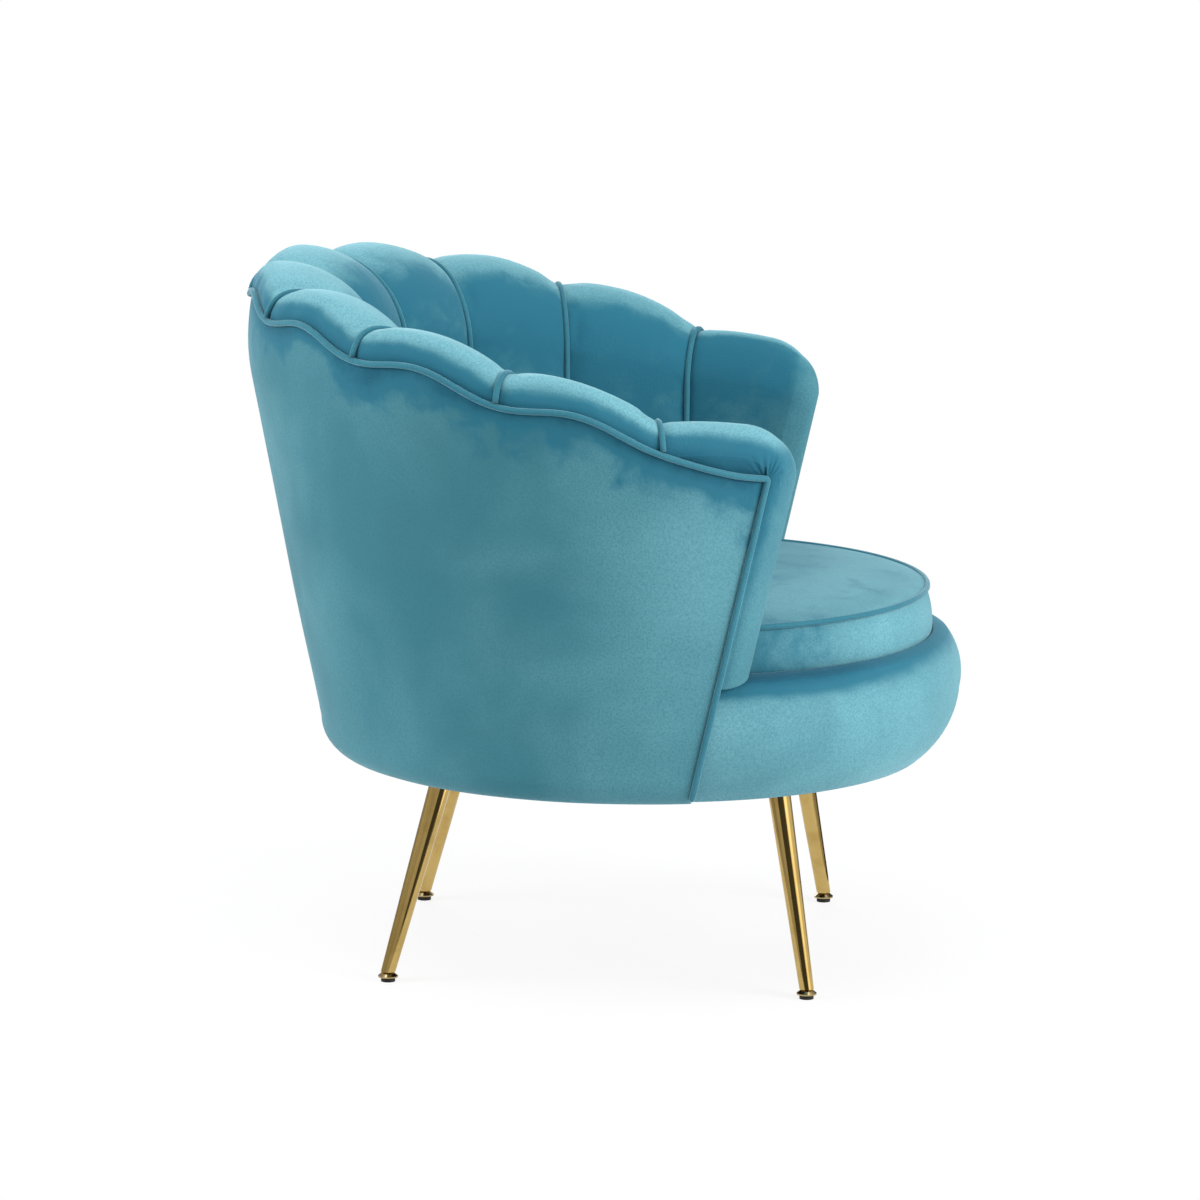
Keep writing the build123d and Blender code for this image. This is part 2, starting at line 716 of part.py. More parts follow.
def cushion_form(off):
    with BuildPart() as form:
        with BuildSketch(Plane.XZ.offset(-CUSHION_Y)):
            with BuildLine():
                low = (CUSHION_R - 3.0 - off, BASE_DECK + 0.3 + off)
                side_low = (CUSHION_R - off, BASE_DECK + 6.0)
                side_high = (CUSHION_R - off, CUSHION_TOP)
                brow = (CUSHION_R - 5.0 - off, CUSHION_TOP + 4.0 - off)
                Line((0, BASE_DECK + 0.3 + off), low)
                Line(low, side_low)
                ThreePointArc(side_low, (CUSHION_R + 2.5 - off, CUSHION_MIDDLE), side_high)
                Line(side_high, brow)
                ThreePointArc(brow, crown_point(brow, CUSHION_CROWN - off), (0, CUSHION_CROWN - off))
                Line((0, CUSHION_CROWN - off), (0, BASE_DECK + 0.3 + off))
            make_face()
        revolve(axis=Axis((0, CUSHION_Y, 0), (0, 0, 1)))
    return form.part


with BuildPart() as cushion_cover:
    add(cushion_form(0.0))
    add(cushion_form(COVER), mode=Mode.SUBTRACT)
save(cushion_cover.part, "cushion_cover")

with BuildPart() as cushion_foam:
    add(cushion_form(COVER + 0.2))
save(cushion_foam.part, "cushion_foam")

for label, radius, z in (
    ("cushion_piping_top", CUSHION_R + 1.6, CUSHION_TOP + 3.4),
    ("cushion_piping_bottom", CUSHION_R + 2.0, BASE_DECK + CORD + 0.3),
):
    with BuildPart() as piping:
        with BuildSketch(Plane.XZ.offset(-CUSHION_Y)):
            with Locations((radius, z)):
                Circle(CORD)
        revolve(axis=Axis((0, CUSHION_Y, 0), (0, 0, 1)))
    save(piping.part, label)

with BuildPart() as cushion_zip:
    with BuildSketch(Plane.XZ.offset(-CUSHION_Y)):
        with Locations((CUSHION_R + 3.2, CUSHION_MIDDLE)):
            Rectangle(1.0, 9.0)
    revolve(axis=Axis((0, CUSHION_Y, 0), (0, 0, 1)), revolution_arc=120.0)
zip_piece = cushion_zip.part.rotate(Axis((0, CUSHION_Y, 0), (0, 0, 1)), 30.0)
save(zip_piece, "cushion_zip")
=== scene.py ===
import json
import math

import bmesh
import bpy
import numpy as np
from mathutils import Matrix, Vector


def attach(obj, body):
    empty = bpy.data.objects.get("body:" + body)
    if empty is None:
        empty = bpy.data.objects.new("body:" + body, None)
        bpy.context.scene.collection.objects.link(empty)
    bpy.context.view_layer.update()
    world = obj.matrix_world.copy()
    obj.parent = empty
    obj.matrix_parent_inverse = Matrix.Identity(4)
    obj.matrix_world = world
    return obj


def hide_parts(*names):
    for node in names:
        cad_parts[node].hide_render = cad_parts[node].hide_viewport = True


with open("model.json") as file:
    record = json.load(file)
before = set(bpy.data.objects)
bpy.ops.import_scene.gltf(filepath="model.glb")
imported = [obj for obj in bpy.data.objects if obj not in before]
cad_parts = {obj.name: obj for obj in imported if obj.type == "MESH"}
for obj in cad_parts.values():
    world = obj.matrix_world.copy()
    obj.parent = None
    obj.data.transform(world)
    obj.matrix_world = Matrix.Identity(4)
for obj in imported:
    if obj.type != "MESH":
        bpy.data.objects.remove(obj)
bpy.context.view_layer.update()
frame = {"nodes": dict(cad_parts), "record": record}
nodes = frame["nodes"]
scene = bpy.context.scene

# Sizes of the chair in millimetres, tied together as in the CAD part
MM = 0.001
CUSHION_R = 271.5
CUSHION_ROOM = 9.5
BACK_WALL = 35.2
BASE_BOTTOM = 212.0
BASE_DECK = 326.4
BASE_R = 317.0
CORD = 3.0
PITCH = 25.75
LAST_SEAM = 103.0
RIM_TOP = 704.8
RIM_DROP = 104.9654
CREST = 16.0
ROLL = 27.0
LIP_H = 30.0
LIP_SHARE = 0.65
SWELL = 9.0
INNER_R = CUSHION_R + CUSHION_ROOM
INNER_FLARE = 0.03
INNER_TOP = 80.0
PETAL_FOOT = BASE_DECK - 15.1
PETAL_BACK = 33.4
SHELL_Z = BASE_BOTTOM - 8.0
SHELL_R = INNER_R + BACK_WALL
SHELL_Y = -31.1
SHELL_FLARE = 0.1272
SHELL_RAKE = 0.0715
LEAN_Z = RIM_TOP - 104.8
LEAN_H = 90.0
LEAN = 20.0
SEAT_Y = SHELL_Y - 26.9
BASE_Y = SEAT_Y + 6.2
CUSHION_Y = SEAT_Y - 3.0
RING_Y = SHELL_Y + 3.1
EDGE_Z = BASE_BOTTOM + 12.0
EDGE_Y = SHELL_Y - 79.9
EDGE_SLANT = 0.223
FRONT_TURN = 119.0
ARM_RISE = 10.0
ARM_FALL = 18.0
CORNER_Z = RIM_TOP - 158.8
TURN_R = 34.0
TURN_Z = BASE_BOTTOM + TURN_R

# Piped edge: its wave and its fall to the arm corner, and the skin of the padding behind it
WAVE_SHARE = 0.92
CORNER_DROP = 27.5
CORNER_EASE = 1.35
ARM_RUN = 114.0
CORD_END = 350.0
SKIN = 1.0
LEDGE_DROP = 2.0
LEDGE_DEPTH = 5.2

# Stuffing: how it fades towards the rim and where the cushion is lifted past
RIM_FADE = 0.06
CLEAR_Z = 392.0
CLEAR_H = 120.0
CLEAR_LEAST = 0.12
SEAM_CROWD = 0.07
SEAM_TURN = 0.10
SEAM_LIFT = 4.3

# Rounded front of the arms
NOSE_REACH = 27.0
NOSE_CLOSE = 0.94
SPINE_DROP = 24.0
SPINE_FOOT = 8.0
NOSE_ROUND = 61.0
NOSE_START = 33.0
NOSE_LEAN = 0.40
NOSE_FOOT = 334.0
NOSE_BEND = 450.0
NOSE_FALL = 455.0
NOSE_SINK = 2.0
NOSE_SINK_Z = 440.0
NOSE_SINK_H = 80.0
NOSE_FROM = 0.54

# Outer cover, base front and cushion
WALL = 4.4
END_WALL = 12.0
EDGE_GAP = 0.4
BASE_TUCK = 14.0
LIP_R = 279.8
LIP_IN = 25.0
CUSHION_BULGE = 279.0
ZIP_R = 273.6
ZIP_Z = 356.0

# Cloth step
CLOTH_FRAMES = 18
CLOTH_STIFF = 15.0
CLOTH_PRESSURE = 4.0
CLOTH_FADE = 90.0


# Shapes of the shell and the petals
def unit(value):
    """Value held between 0 and 1."""
    return np.clip(value, 0.0, 1.0)


def shell_radius(z):
    """Radius of the outer shell, drawn in where the rim leans."""
    lean = np.maximum(0.0, (z - LEAN_Z) / LEAN_H)
    return SHELL_R + SHELL_FLARE * (z - SHELL_Z) - LEAN * lean**2


def shell_centre(z):
    return SHELL_Y + SHELL_RAKE * (z - SHELL_Z)


def inner_radius(z):
    return INNER_R + INNER_FLARE * (z - BASE_DECK)


def edge_y(z):
    """Place of the arms' front edge, a plane that leans forward towards the top."""
    return EDGE_Y - EDGE_SLANT * (z - EDGE_Z)


def bulge(turn):
    """Fullness of a petal: 0 at its seams, 1 in its middle."""
    u = 2.0 * ((abs(turn) / PITCH) % 1.0) - 1.0
    return 1.0 - u * u


def seam_crest(turn):
    return RIM_TOP - RIM_DROP * (turn / LAST_SEAM) ** 2


def crest_height(turn):
    return seam_crest(turn) + CREST * bulge(turn)


def arm_crest(share):
    return RIM_TOP - RIM_DROP + ARM_RISE * share - ARM_FALL * share**2


def arm_edge(share):
    """Height of the piped edge along the arm, down to its front corner."""
    return RIM_TOP - RIM_DROP - ROLL - CORNER_DROP * (1.0 - (1.0 - share) ** CORNER_EASE)


def rim_wave(turn):
    """Height of the piped edge: a soft wave along the back, then down to the arm corner."""
    if abs(turn) > LAST_SEAM:
        return arm_edge(min(1.0, (abs(turn) - LAST_SEAM) / (FRONT_TURN - LAST_SEAM)))
    return seam_crest(turn) - ROLL + WAVE_SHARE * CREST * math.sin(math.pi * abs(turn) / PITCH) ** 2


class Slice:
    """Upright or slanted plane in which one outline of the padding lies."""

    def __init__(self, y0, dx, dy, slant):
        self.y0, self.dx, self.dy, self.slant = y0, dx, dy, slant
        self.norm = math.sqrt(1.0 + (slant * dx) ** 2)

    def place(self, a, z):
        lift = (z - EDGE_Z) * self.slant * self.dx
        x = a * self.dx + lift * self.dy
        y = self.y0 + a * self.dy - lift * self.dx
        return np.stack([x, y, np.broadcast_to(z, np.shape(x))], axis=-1)

    def reach(self, z, centre, radius):
        lift = (z - EDGE_Z) * self.slant * self.dx
        x = lift * self.dy
        y = self.y0 - lift * self.dx - centre
        along = x * self.dx + y * self.dy
        return np.sqrt(radius**2 - x**2 - y**2 + along**2) - along

    def shell(self, z, depth=0.0):
        return self.reach(z, shell_centre(z), shell_radius(z) - depth)


def radial_slice(turn):
    t = math.radians(turn)
    return Slice(0.0, math.sin(t), math.cos(t), 0.0)


def arm_slice(side, share, ahead=0.0):
    t = math.radians(LAST_SEAM + (90.0 - LAST_SEAM) * share)
    return Slice(EDGE_Y * share - ahead, side * math.sin(t), math.cos(t), EDGE_SLANT * share)


def lip_radii(wide):
    """Radii of the two arcs of the lip: over the crest, then into the inside."""
    tall = LIP_SHARE * wide + LIP_H
    half = math.sqrt(0.5)
    lip_r = (half * wide - (1 - half) * tall) / (2 * half - 1)
    side_r = (half * tall - (1 - half) * wide) / (2 * half - 1)
    return lip_r, side_r


N_ROLL, N_LIP, N_SIDE, N_WALL, N_FOOT, N_BACK = 9, 13, 13, 48, 4, 14
N_SHOWN = N_ROLL + N_LIP + N_SIDE + N_WALL


def over_rim(rim, spring, norm, wide, lift=0.0, lead=0.0):
    """Points over the roll and the lip, in the slice: a and height."""
    lip_r, side_r = lip_radii(wide)
    roll_r = ROLL * norm
    first = np.radians(np.linspace(lead, 90.0, N_ROLL, endpoint=False))
    roll = np.stack([rim - roll_r + (roll_r + lift) * np.cos(first),
                     (roll_r + lift) * np.sin(first)], axis=1)
    ang = np.radians(np.linspace(0.0, 45.0, N_LIP, endpoint=False))
    mid = np.array([rim - roll_r, roll_r - lip_r])
    lip = mid + (lip_r + lift) * np.stack([-np.sin(ang), np.cos(ang)], axis=1)
    turn = math.radians(45.0)
    last = mid + (lip_r - side_r) * np.array([-math.sin(turn), math.cos(turn)])
    ang = np.radians(np.linspace(45.0, 90.0, N_SIDE, endpoint=False))
    side = last + (side_r + lift) * np.stack([-np.sin(ang), np.cos(ang)], axis=1)
    end = last + (side_r + lift) * np.array([-1.0, 0.0])
    arc = np.concatenate([roll, lip, side])
    arc[:, 1] = spring + arc[:, 1] / norm
    return arc, (end[0], spring + end[1] / norm)


def petal_outline(cut, crest, puff, edge, pillow):
    """Shown part of the padding in one slice: rim first, over the top, down the inside."""
    spring = crest - ROLL
    rim = cut.shell(edge, SKIN)
    hollow = SWELL * (1.0 - puff)
    top_z = crest - INNER_TOP
    inner_high = cut.reach(top_z, SEAT_Y, inner_radius(top_z) + hollow)
    inner_low = cut.reach(PETAL_FOOT, SEAT_Y, inner_radius(PETAL_FOOT) + hollow)
    arc, end = over_rim(rim, spring, cut.norm, rim - ROLL * cut.norm - inner_high)
    wall = np.linspace(end, (inner_low, PETAL_FOOT), N_WALL)
    shown = np.concatenate([arc, wall])
    # Stuffing stands out along the outline, less where the cushion is lifted past
    along = np.arange(len(shown)) / (len(shown) - 1.0)
    start = unit(along / RIM_FADE)
    high = unit((shown[:, 1] - CLEAR_Z) / CLEAR_H)
    rise = pillow * start * (CLEAR_LEAST + (1.0 - CLEAR_LEAST) * high)
    return shown + outline_normals(shown) * rise[:, None]


def outline_normals(line):
    """Directions across an outline, away from the padding."""
    step = np.gradient(line, axis=0)
    step /= np.linalg.norm(step, axis=1)[:, None]
    return np.stack([step[:, 1], -step[:, 0]], axis=1)


def petal_loop(cut, crest, puff, edge, pillow):
    """Closed outline of the padding in one slice, with its hidden back."""
    shown = petal_outline(cut, crest, puff, edge, pillow)
    low_out = cut.shell(PETAL_FOOT, PETAL_BACK)
    under = edge - LEDGE_DROP
    high_out = cut.shell(under, PETAL_BACK)
    tuck = cut.shell(under, LEDGE_DEPTH)
    foot = np.linspace(shown[-1], (low_out, PETAL_FOOT), N_FOOT + 1)[1:]
    back = np.linspace((low_out, PETAL_FOOT), (high_out, under), N_BACK + 1)[1:]
    ledge = np.linspace((high_out, under), (tuck, under), 4)[1:]
    rise = np.linspace((tuck, under), (shown[0][0], max(edge + 0.5, crest - ROLL - 1.0)), 4)[1:]
    loop = np.concatenate([shown, foot, back, ledge, rise])
    return cut.place(loop[:, 0], loop[:, 1])


def nose_drop(ahead):
    """How far the top of the arm has come down at this distance past the piped edge."""
    way = min(max(0.0, NOSE_START + ahead), NOSE_ROUND)
    return NOSE_ROUND - math.sqrt(NOSE_ROUND**2 - way**2)


def nose_loop(side, turn, shown):
    """Outline of the rounded arm front, in the order of petal_loop; turn runs from 0 to 90."""
    t = math.radians(turn)
    ahead = NOSE_REACH * math.sin(t)
    share = NOSE_CLOSE * (1.0 - math.cos(t))
    cut = arm_slice(side, 1.0)
    shown = shown.copy()
    lower = shown[:, 1] < NOSE_BEND
    fall = NOSE_BEND - shown[lower, 1]
    shown[lower, 1] = NOSE_BEND - fall * (NOSE_BEND - NOSE_FOOT) / (NOSE_BEND - PETAL_FOOT)
    low_out = (cut.shell(NOSE_FOOT, SKIN + NOSE_SINK), NOSE_FOOT)
    foot = np.linspace(shown[-1], low_out, N_FOOT + 1)[1:]
    back_z = np.linspace(NOSE_FOOT, shown[0][1], N_BACK + 8)[1:-1]
    sunk = NOSE_SINK * unit((NOSE_SINK_Z - back_z) / NOSE_SINK_H)
    back = np.stack([cut.shell(back_z, SKIN + sunk), back_z], axis=1)
    loop = np.concatenate([shown, foot, back])
    # The outline closes in on a spine up the middle of the arm
    top = int(np.argmax(shown[:, 1]))
    crest = shown[top, 1]
    spine_z = np.clip(loop[:, 1], NOSE_FOOT + SPINE_FOOT, crest - SPINE_DROP)
    inner = np.interp(spine_z, shown[top:, 1][::-1], shown[top:, 0][::-1])
    spine = np.stack([0.5 * (inner + cut.shell(spine_z, SKIN)), spine_z], axis=1)
    loop += share * (spine - loop)
    extra = nose_drop(ahead) - nose_drop(0.0) - share * SPINE_DROP
    high = unit((loop[:, 1] - NOSE_FALL) / (crest - share * SPINE_DROP - NOSE_FALL))
    loop[:, 1] -= extra * high**1.5
    loop[:, 0] -= NOSE_LEAN * NOSE_REACH * math.sin(t) ** 1.8
    return arm_slice(side, 1.0, ahead).place(loop[:, 0], loop[:, 1])


# Mesh helpers
def make_object(name, points, faces):
    mesh = bpy.data.meshes.new(name)
    mesh.from_pydata([tuple(p) for p in np.asarray(points, float) * MM], [], faces)
    mesh.validate()
    mesh.polygons.foreach_set("use_smooth", [True] * len(mesh.polygons))
    obj = bpy.data.objects.new(name, mesh)
    scene.collection.objects.link(obj)
    return obj


def grid_faces(rows, cols, wrap_rows=False):
    """Faces between rows of points, closed round each row."""
    faces = []
    for i in range(rows if wrap_rows else rows - 1):
        for j in range(cols):
            a, b = i * cols, ((i + 1) % rows) * cols
            k = (j + 1) % cols
            faces.append((a + j, a + k, b + k, b + j))
    return faces


def face_out(obj):
    """Turns all faces of a mesh the same way, outwards where it is closed."""
    bm = bmesh.new()
    bm.from_mesh(obj.data)
    bmesh.ops.recalc_face_normals(bm, faces=bm.faces)
    bm.to_mesh(obj.data)
    bm.free()


def rows_object(name, rows, caps=True):
    """Mesh through outlines with the same count of points, closed at both ends unless caps is off."""
    rows = np.asarray(rows, float)
    n, m = rows.shape[:2]
    faces = grid_faces(n, m)
    if caps:
        faces.append(tuple(range(m)))
        faces.append(tuple((n - 1) * m + j for j in reversed(range(m))))
    obj = make_object(name, rows.reshape(-1, 3), faces)
    face_out(obj)
    return obj


def ring_row(r, z, middle_y, count):
    """Level circle of points about a middle on the y axis."""
    ang = np.linspace(0.0, 2 * math.pi, count, endpoint=False)
    return np.stack([r * np.sin(ang), middle_y + r * np.cos(ang), np.full(count, z)], axis=1)


def tube_rows(path, radius, sides=10, closed=False):
    """Rings round a path, carried along it without twist."""
    path = np.asarray(path, float)
    if closed:
        ahead = np.roll(path, -1, axis=0) - np.roll(path, 1, axis=0)
    else:
        ahead = np.gradient(path, axis=0)
    ahead /= np.linalg.norm(ahead, axis=1)[:, None]
    up = np.array([0.0, 0.0, 1.0])
    if abs(ahead[0] @ up) > 0.9:
        up = np.array([1.0, 0.0, 0.0])
    rings = []
    ang = np.linspace(0.0, 2 * math.pi, sides, endpoint=False)
    for k in range(len(path)):
        up = up - ahead[k] * (up @ ahead[k])
        up /= np.linalg.norm(up)
        across = np.cross(ahead[k], up)
        rings.append(path[k] + radius * (np.cos(ang)[:, None] * up + np.sin(ang)[:, None] * across))
    return np.array(rings)


def resample(path, gap):
    """Path with points at equal steps along it."""
    path = np.asarray(path, float)
    run = np.concatenate([[0.0], np.cumsum(np.linalg.norm(np.diff(path, axis=0), axis=1))])
    count = max(2, int(run[-1] / gap) + 1)
    at = np.linspace(0.0, run[-1], count)
    return np.stack([np.interp(at, run, path[:, k]) for k in range(3)], axis=1)


def coords(obj):
    co = np.empty(len(obj.data.vertices) * 3)
    obj.data.vertices.foreach_get("co", co)
    return co.reshape(-1, 3)


def set_coords(obj, co):
    obj.data.vertices.foreach_set("co", np.asarray(co, float).ravel())
    obj.data.update()


def push(obj, amount):
    """Moves each point along its own normal, in metres."""
    way = np.empty(len(obj.data.vertices) * 3)
    obj.data.vertices.foreach_get("normal", way)
    set_coords(obj, coords(obj) + way.reshape(-1, 3) * np.asarray(amount)[:, None])


def set_value(obj, name, values):
    layer = obj.data.attributes.get(name) or obj.data.attributes.new(name, "FLOAT", "POINT")
    layer.data.foreach_set("value", np.asarray(values, np.float32))


def inflate(obj, pins, cap, grow):
    """Cloth pressure from inside; pins are held, and no point moves past the cap (mm)."""
    rest = coords(obj)
    group = obj.vertex_groups.new(name="held")
    for value in np.unique(np.round(pins, 2)):
        if value > 0.0:
            group.add([int(k) for k in np.nonzero(np.round(pins, 2) == value)[0]], float(value), "REPLACE")
    mod = obj.modifiers.new("cloth", "CLOTH")
    cloth = mod.settings
    cloth.quality = 4
    cloth.mass = 0.3
    cloth.tension_stiffness = CLOTH_STIFF
    cloth.compression_stiffness = CLOTH_STIFF
    cloth.shear_stiffness = 5.0
    cloth.bending_stiffness = 0.8
    cloth.use_pressure = True
    cloth.uniform_pressure_force = CLOTH_PRESSURE
    cloth.effector_weights.gravity = 0.0
    cloth.vertex_group_mass = "held"
    cloth.shrink_min = -grow
    mod.point_cache.frame_start = 1
    mod.point_cache.frame_end = CLOTH_FRAMES
    for k in range(1, CLOTH_FRAMES + 1):
        scene.frame_set(k)
    blown = obj.evaluated_get(bpy.context.evaluated_depsgraph_get()).data
    co = np.empty(len(rest) * 3)
    blown.vertices.foreach_get("co", co)
    move = co.reshape(-1, 3) - rest
    obj.modifiers.remove(mod)
    obj.vertex_groups.clear()
    scene.frame_set(1)
    far = np.linalg.norm(move, axis=1)
    limit = cap * MM
    move *= (limit * np.tanh(far / limit) / np.maximum(far, 1e-9))[:, None]
    set_coords(obj, rest + move)


def eased(move, passes):
    """Cloth movement with its point-to-point unrest smoothed out; rows are open, columns closed."""
    for _ in range(passes):
        move = 0.5 * move + 0.25 * (np.roll(move, 1, axis=1) + np.roll(move, -1, axis=1))
        wide = np.concatenate([move[:1], move, move[-1:]])
        move = 0.25 * wide[:-2] + 0.5 * move + 0.25 * wide[2:]
    return move


def soft(rows, pins, cap, grow, low=None, passes=1):
    """Outlines of a pad after its copy was blown up as cloth; low is a height that it hardly moves below."""
    rows = np.asarray(rows, float)
    trial = rows_object("soft_copy", rows)
    inflate(trial, pins.ravel(), cap, grow)
    move = eased((coords(trial) / MM).reshape(rows.shape) - rows, passes)
    bpy.data.objects.remove(trial)
    if low is not None:
        move *= 0.05 + 0.95 * unit((rows[..., 2:] - low) / CLOTH_FADE)
    return rows + move


def finer(grid, closed):
    """Twice the points along the first axis, on a smooth line through the old ones."""
    if closed:
        a, b, c, d = (np.roll(grid, k, axis=0) for k in (1, 0, -1, -2))
    else:
        ext = np.concatenate([2 * grid[:1] - grid[1:2], grid, 2 * grid[-1:] - grid[-2:-1]])
        a, b, c, d = ext[:-3], ext[1:-2], ext[2:-1], ext[3:]
    middle = (9 * (b + c) - a - d) / 16.0
    out = np.empty((len(grid) + len(middle),) + grid.shape[1:])
    out[0::2] = grid
    out[1::2] = middle
    return out


def refine(rows):
    """Four times the faces, on smooth lines through the old points."""
    rows = finer(np.asarray(rows, float), False)
    return np.swapaxes(finer(np.swapaxes(rows, 0, 1), True), 0, 1)


def dress(obj, body, material, replaces=()):
    """Gives a piece its material, body and slot, and hides the CAD nodes that it stands for."""
    obj.data.materials.clear()
    obj.data.materials.append(material)
    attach(obj, body)
    if replaces:
        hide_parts(*replaces)


def wave(seed, count=10, low=8.0, high=30.0):
    """Smooth repeatable unevenness over x, y, z in metres, about -1 to 1."""
    rng = np.random.default_rng(seed)
    way = rng.normal(size=(count, 3))
    way /= np.linalg.norm(way, axis=1)[:, None]
    way *= rng.uniform(low, high, size=(count, 1)) * math.pi
    phase = rng.uniform(0, 2 * math.pi, count)
    size = rng.uniform(0.4, 1.0, count)

    def value(co):
        return (np.sin(co @ way.T + phase) * size).sum(axis=1) / math.sqrt(size @ size * 2)

    return value


# Materials
def shader(name):
    mat = bpy.data.materials.new(name)
    mat.use_nodes = True
    tree = mat.node_tree
    return mat, tree, tree.nodes["Principled BSDF"]


def node(tree, kind, **values):
    item = tree.nodes.new(kind)
    for key, value in values.items():
        if key in item.inputs.keys():
            item.inputs[key].default_value = value
        else:
            setattr(item, key, value)
    return item


def noise(tree, scale, detail=3.0, rough=0.55, twist=0.0, stretch=None):
    where = node(tree, "ShaderNodeTexCoord").outputs["Object"]
    if stretch:
        turn = node(tree, "ShaderNodeMapping", Scale=stretch)
        tree.links.new(where, turn.inputs["Vector"])
        where = turn.outputs["Vector"]
    item = node(tree, "ShaderNodeTexNoise", Scale=scale, Detail=detail, Roughness=rough, Distortion=twist)
    tree.links.new(where, item.inputs["Vector"])
    return item.outputs["Fac"]


def spread(tree, value, low, high, to_low=0.0, to_high=1.0):
    item = node(tree, "ShaderNodeMapRange", interpolation_type="SMOOTHSTEP")
    for socket, number in zip(("From Min", "From Max", "To Min", "To Max"), (low, high, to_low, to_high)):
        item.inputs[socket].default_value = number
    tree.links.new(value, item.inputs["Value"])
    return item.outputs["Result"]


def blend(tree, share, one, two):
    item = node(tree, "ShaderNodeMix", data_type="RGBA")
    for socket, value in zip((item.inputs[0], item.inputs[6], item.inputs[7]), (share, one, two)):
        if isinstance(value, (tuple, float)):
            socket.default_value = value
        else:
            tree.links.new(value, socket)
    return item.outputs[2]


def times(tree, one, two, how="MULTIPLY"):
    item = node(tree, "ShaderNodeMath", operation=how, use_clamp=True)
    for socket, value in zip(item.inputs, (one, two)):
        if isinstance(value, float):
            socket.default_value = value
        else:
            tree.links.new(value, socket)
    return item.outputs[0]


def bumps(tree, bsdf, layers):
    """Chain of bumps: (height, strength, distance in metres)."""
    last = None
    for height, strength, distance in layers:
        item = node(tree, "ShaderNodeBump", Strength=strength, Distance=distance)
        tree.links.new(height, item.inputs["Height"])
        if last:
            tree.links.new(last, item.inputs["Normal"])
        last = item.outputs["Normal"]
    tree.links.new(last, bsdf.inputs["Normal"])


def rgb(code):
    """Linear colour from a written sRGB colour."""
    parts = [int(code[k:k + 2], 16) / 255.0 for k in (0, 2, 4)]
    return tuple(p / 12.92 if p <= 0.04045 else ((p + 0.055) / 1.055) ** 2.4 for p in parts) + (1.0,)


def velvet(name, deep, mid, pale_and_lit, flat_and_shaded, dark, sheen, tint):
    """Short pile velvet: smooth tone, with smudged patches where the pile lies the other way; the same
    darker tones also carry painted shade, and the pale tone carries painted light.
    """
    mat, tree, bsdf = shader(name)
    broad = spread(tree, noise(tree, 5.0, 3.0, 0.5, 0.3), 0.35, 0.68)
    brushed = spread(tree, noise(tree, 16.0, 4.0, 0.6, 0.4, (1.0, 0.3, 0.8)), 0.40, 0.75)
    smudge = noise(tree, 32.0, 4.0, 0.52, 0.45)
    pile = noise(tree, 1100.0, 2.0, 0.6)
    pebble = noise(tree, 500.0, 3.0, 0.6)
    # Point values: the first darkens the velvet for pile laid the other way and for painted shade; the
    # second pales it as painted light, added to a random broad tone
    pile_and_shade = node(tree, "ShaderNodeAttribute", attribute_name="pile_and_shade").outputs["Fac"]
    lift = node(tree, "ShaderNodeAttribute", attribute_name="lift").outputs["Fac"]
    colour = blend(tree, times(tree, times(tree, broad, 0.30), lift, "ADD"), mid, pale_and_lit)
    colour = blend(tree, times(tree, brushed, 0.18), colour, deep)
    calm = node(tree, "ShaderNodeAttribute", attribute_name="calm").outputs["Fac"]
    even = node(tree, "ShaderNodeMix", data_type="FLOAT")
    tree.links.new(calm, even.inputs[0])
    tree.links.new(smudge, even.inputs[2])
    even.inputs[3].default_value = 0.5
    where = node(tree, "ShaderNodeMath", operation="MULTIPLY_ADD")
    tree.links.new(even.outputs[0], where.inputs[0])
    where.inputs[1].default_value = 1.10
    tree.links.new(pile_and_shade, where.inputs[2])
    # Deeper tones: patches of pile laid the other way, and painted shade under the piping and where parts
    # meet
    colour = blend(tree, spread(tree, where.outputs[0], 0.80, 1.16, 0.0, 0.92), colour, flat_and_shaded)
    colour = blend(tree, spread(tree, where.outputs[0], 1.20, 1.90, 0.0, 0.85), colour, dark)
    colour = blend(tree, spread(tree, pebble, 0.35, 0.70, 0.0, 0.40), colour, deep)
    tree.links.new(colour, bsdf.inputs["Base Color"])
    tree.links.new(spread(tree, brushed, 0.0, 1.0, 0.90, 0.74), bsdf.inputs["Roughness"])
    bsdf.inputs["Specular IOR Level"].default_value = 0.15
    bsdf.inputs["Sheen Weight"].default_value = sheen
    bsdf.inputs["Sheen Roughness"].default_value = 0.34
    bsdf.inputs["Sheen Tint"].default_value = tint
    dents = noise(tree, 30.0, 3.0, 0.55, 0.3)
    bumps(tree, bsdf, [(dents, 0.12, 0.0020), (pebble, 0.60, 0.0006), (pile, 0.2, 0.0003)])
    return mat


def metal(name, colour, dark, rough, smear):
    """Plated metal with faint polishing marks and handling smears."""
    mat, tree, bsdf = shader(name)
    cloud = noise(tree, 38.0, 4.0, 0.6, 0.4)
    marks = noise(tree, 420.0, 3.0, 0.6, 0.0, (1.0, 1.0, 0.06))
    tone = blend(tree, spread(tree, cloud, 0.4, 0.7, 0.0, 0.5), colour, dark)
    tree.links.new(tone, bsdf.inputs["Base Color"])
    tree.links.new(spread(tree, cloud, 0.35, 0.7, rough, rough + smear), bsdf.inputs["Roughness"])
    bsdf.inputs["Metallic"].default_value = 1.0
    bumps(tree, bsdf, [(marks, 0.04, 0.0002)])
    return mat


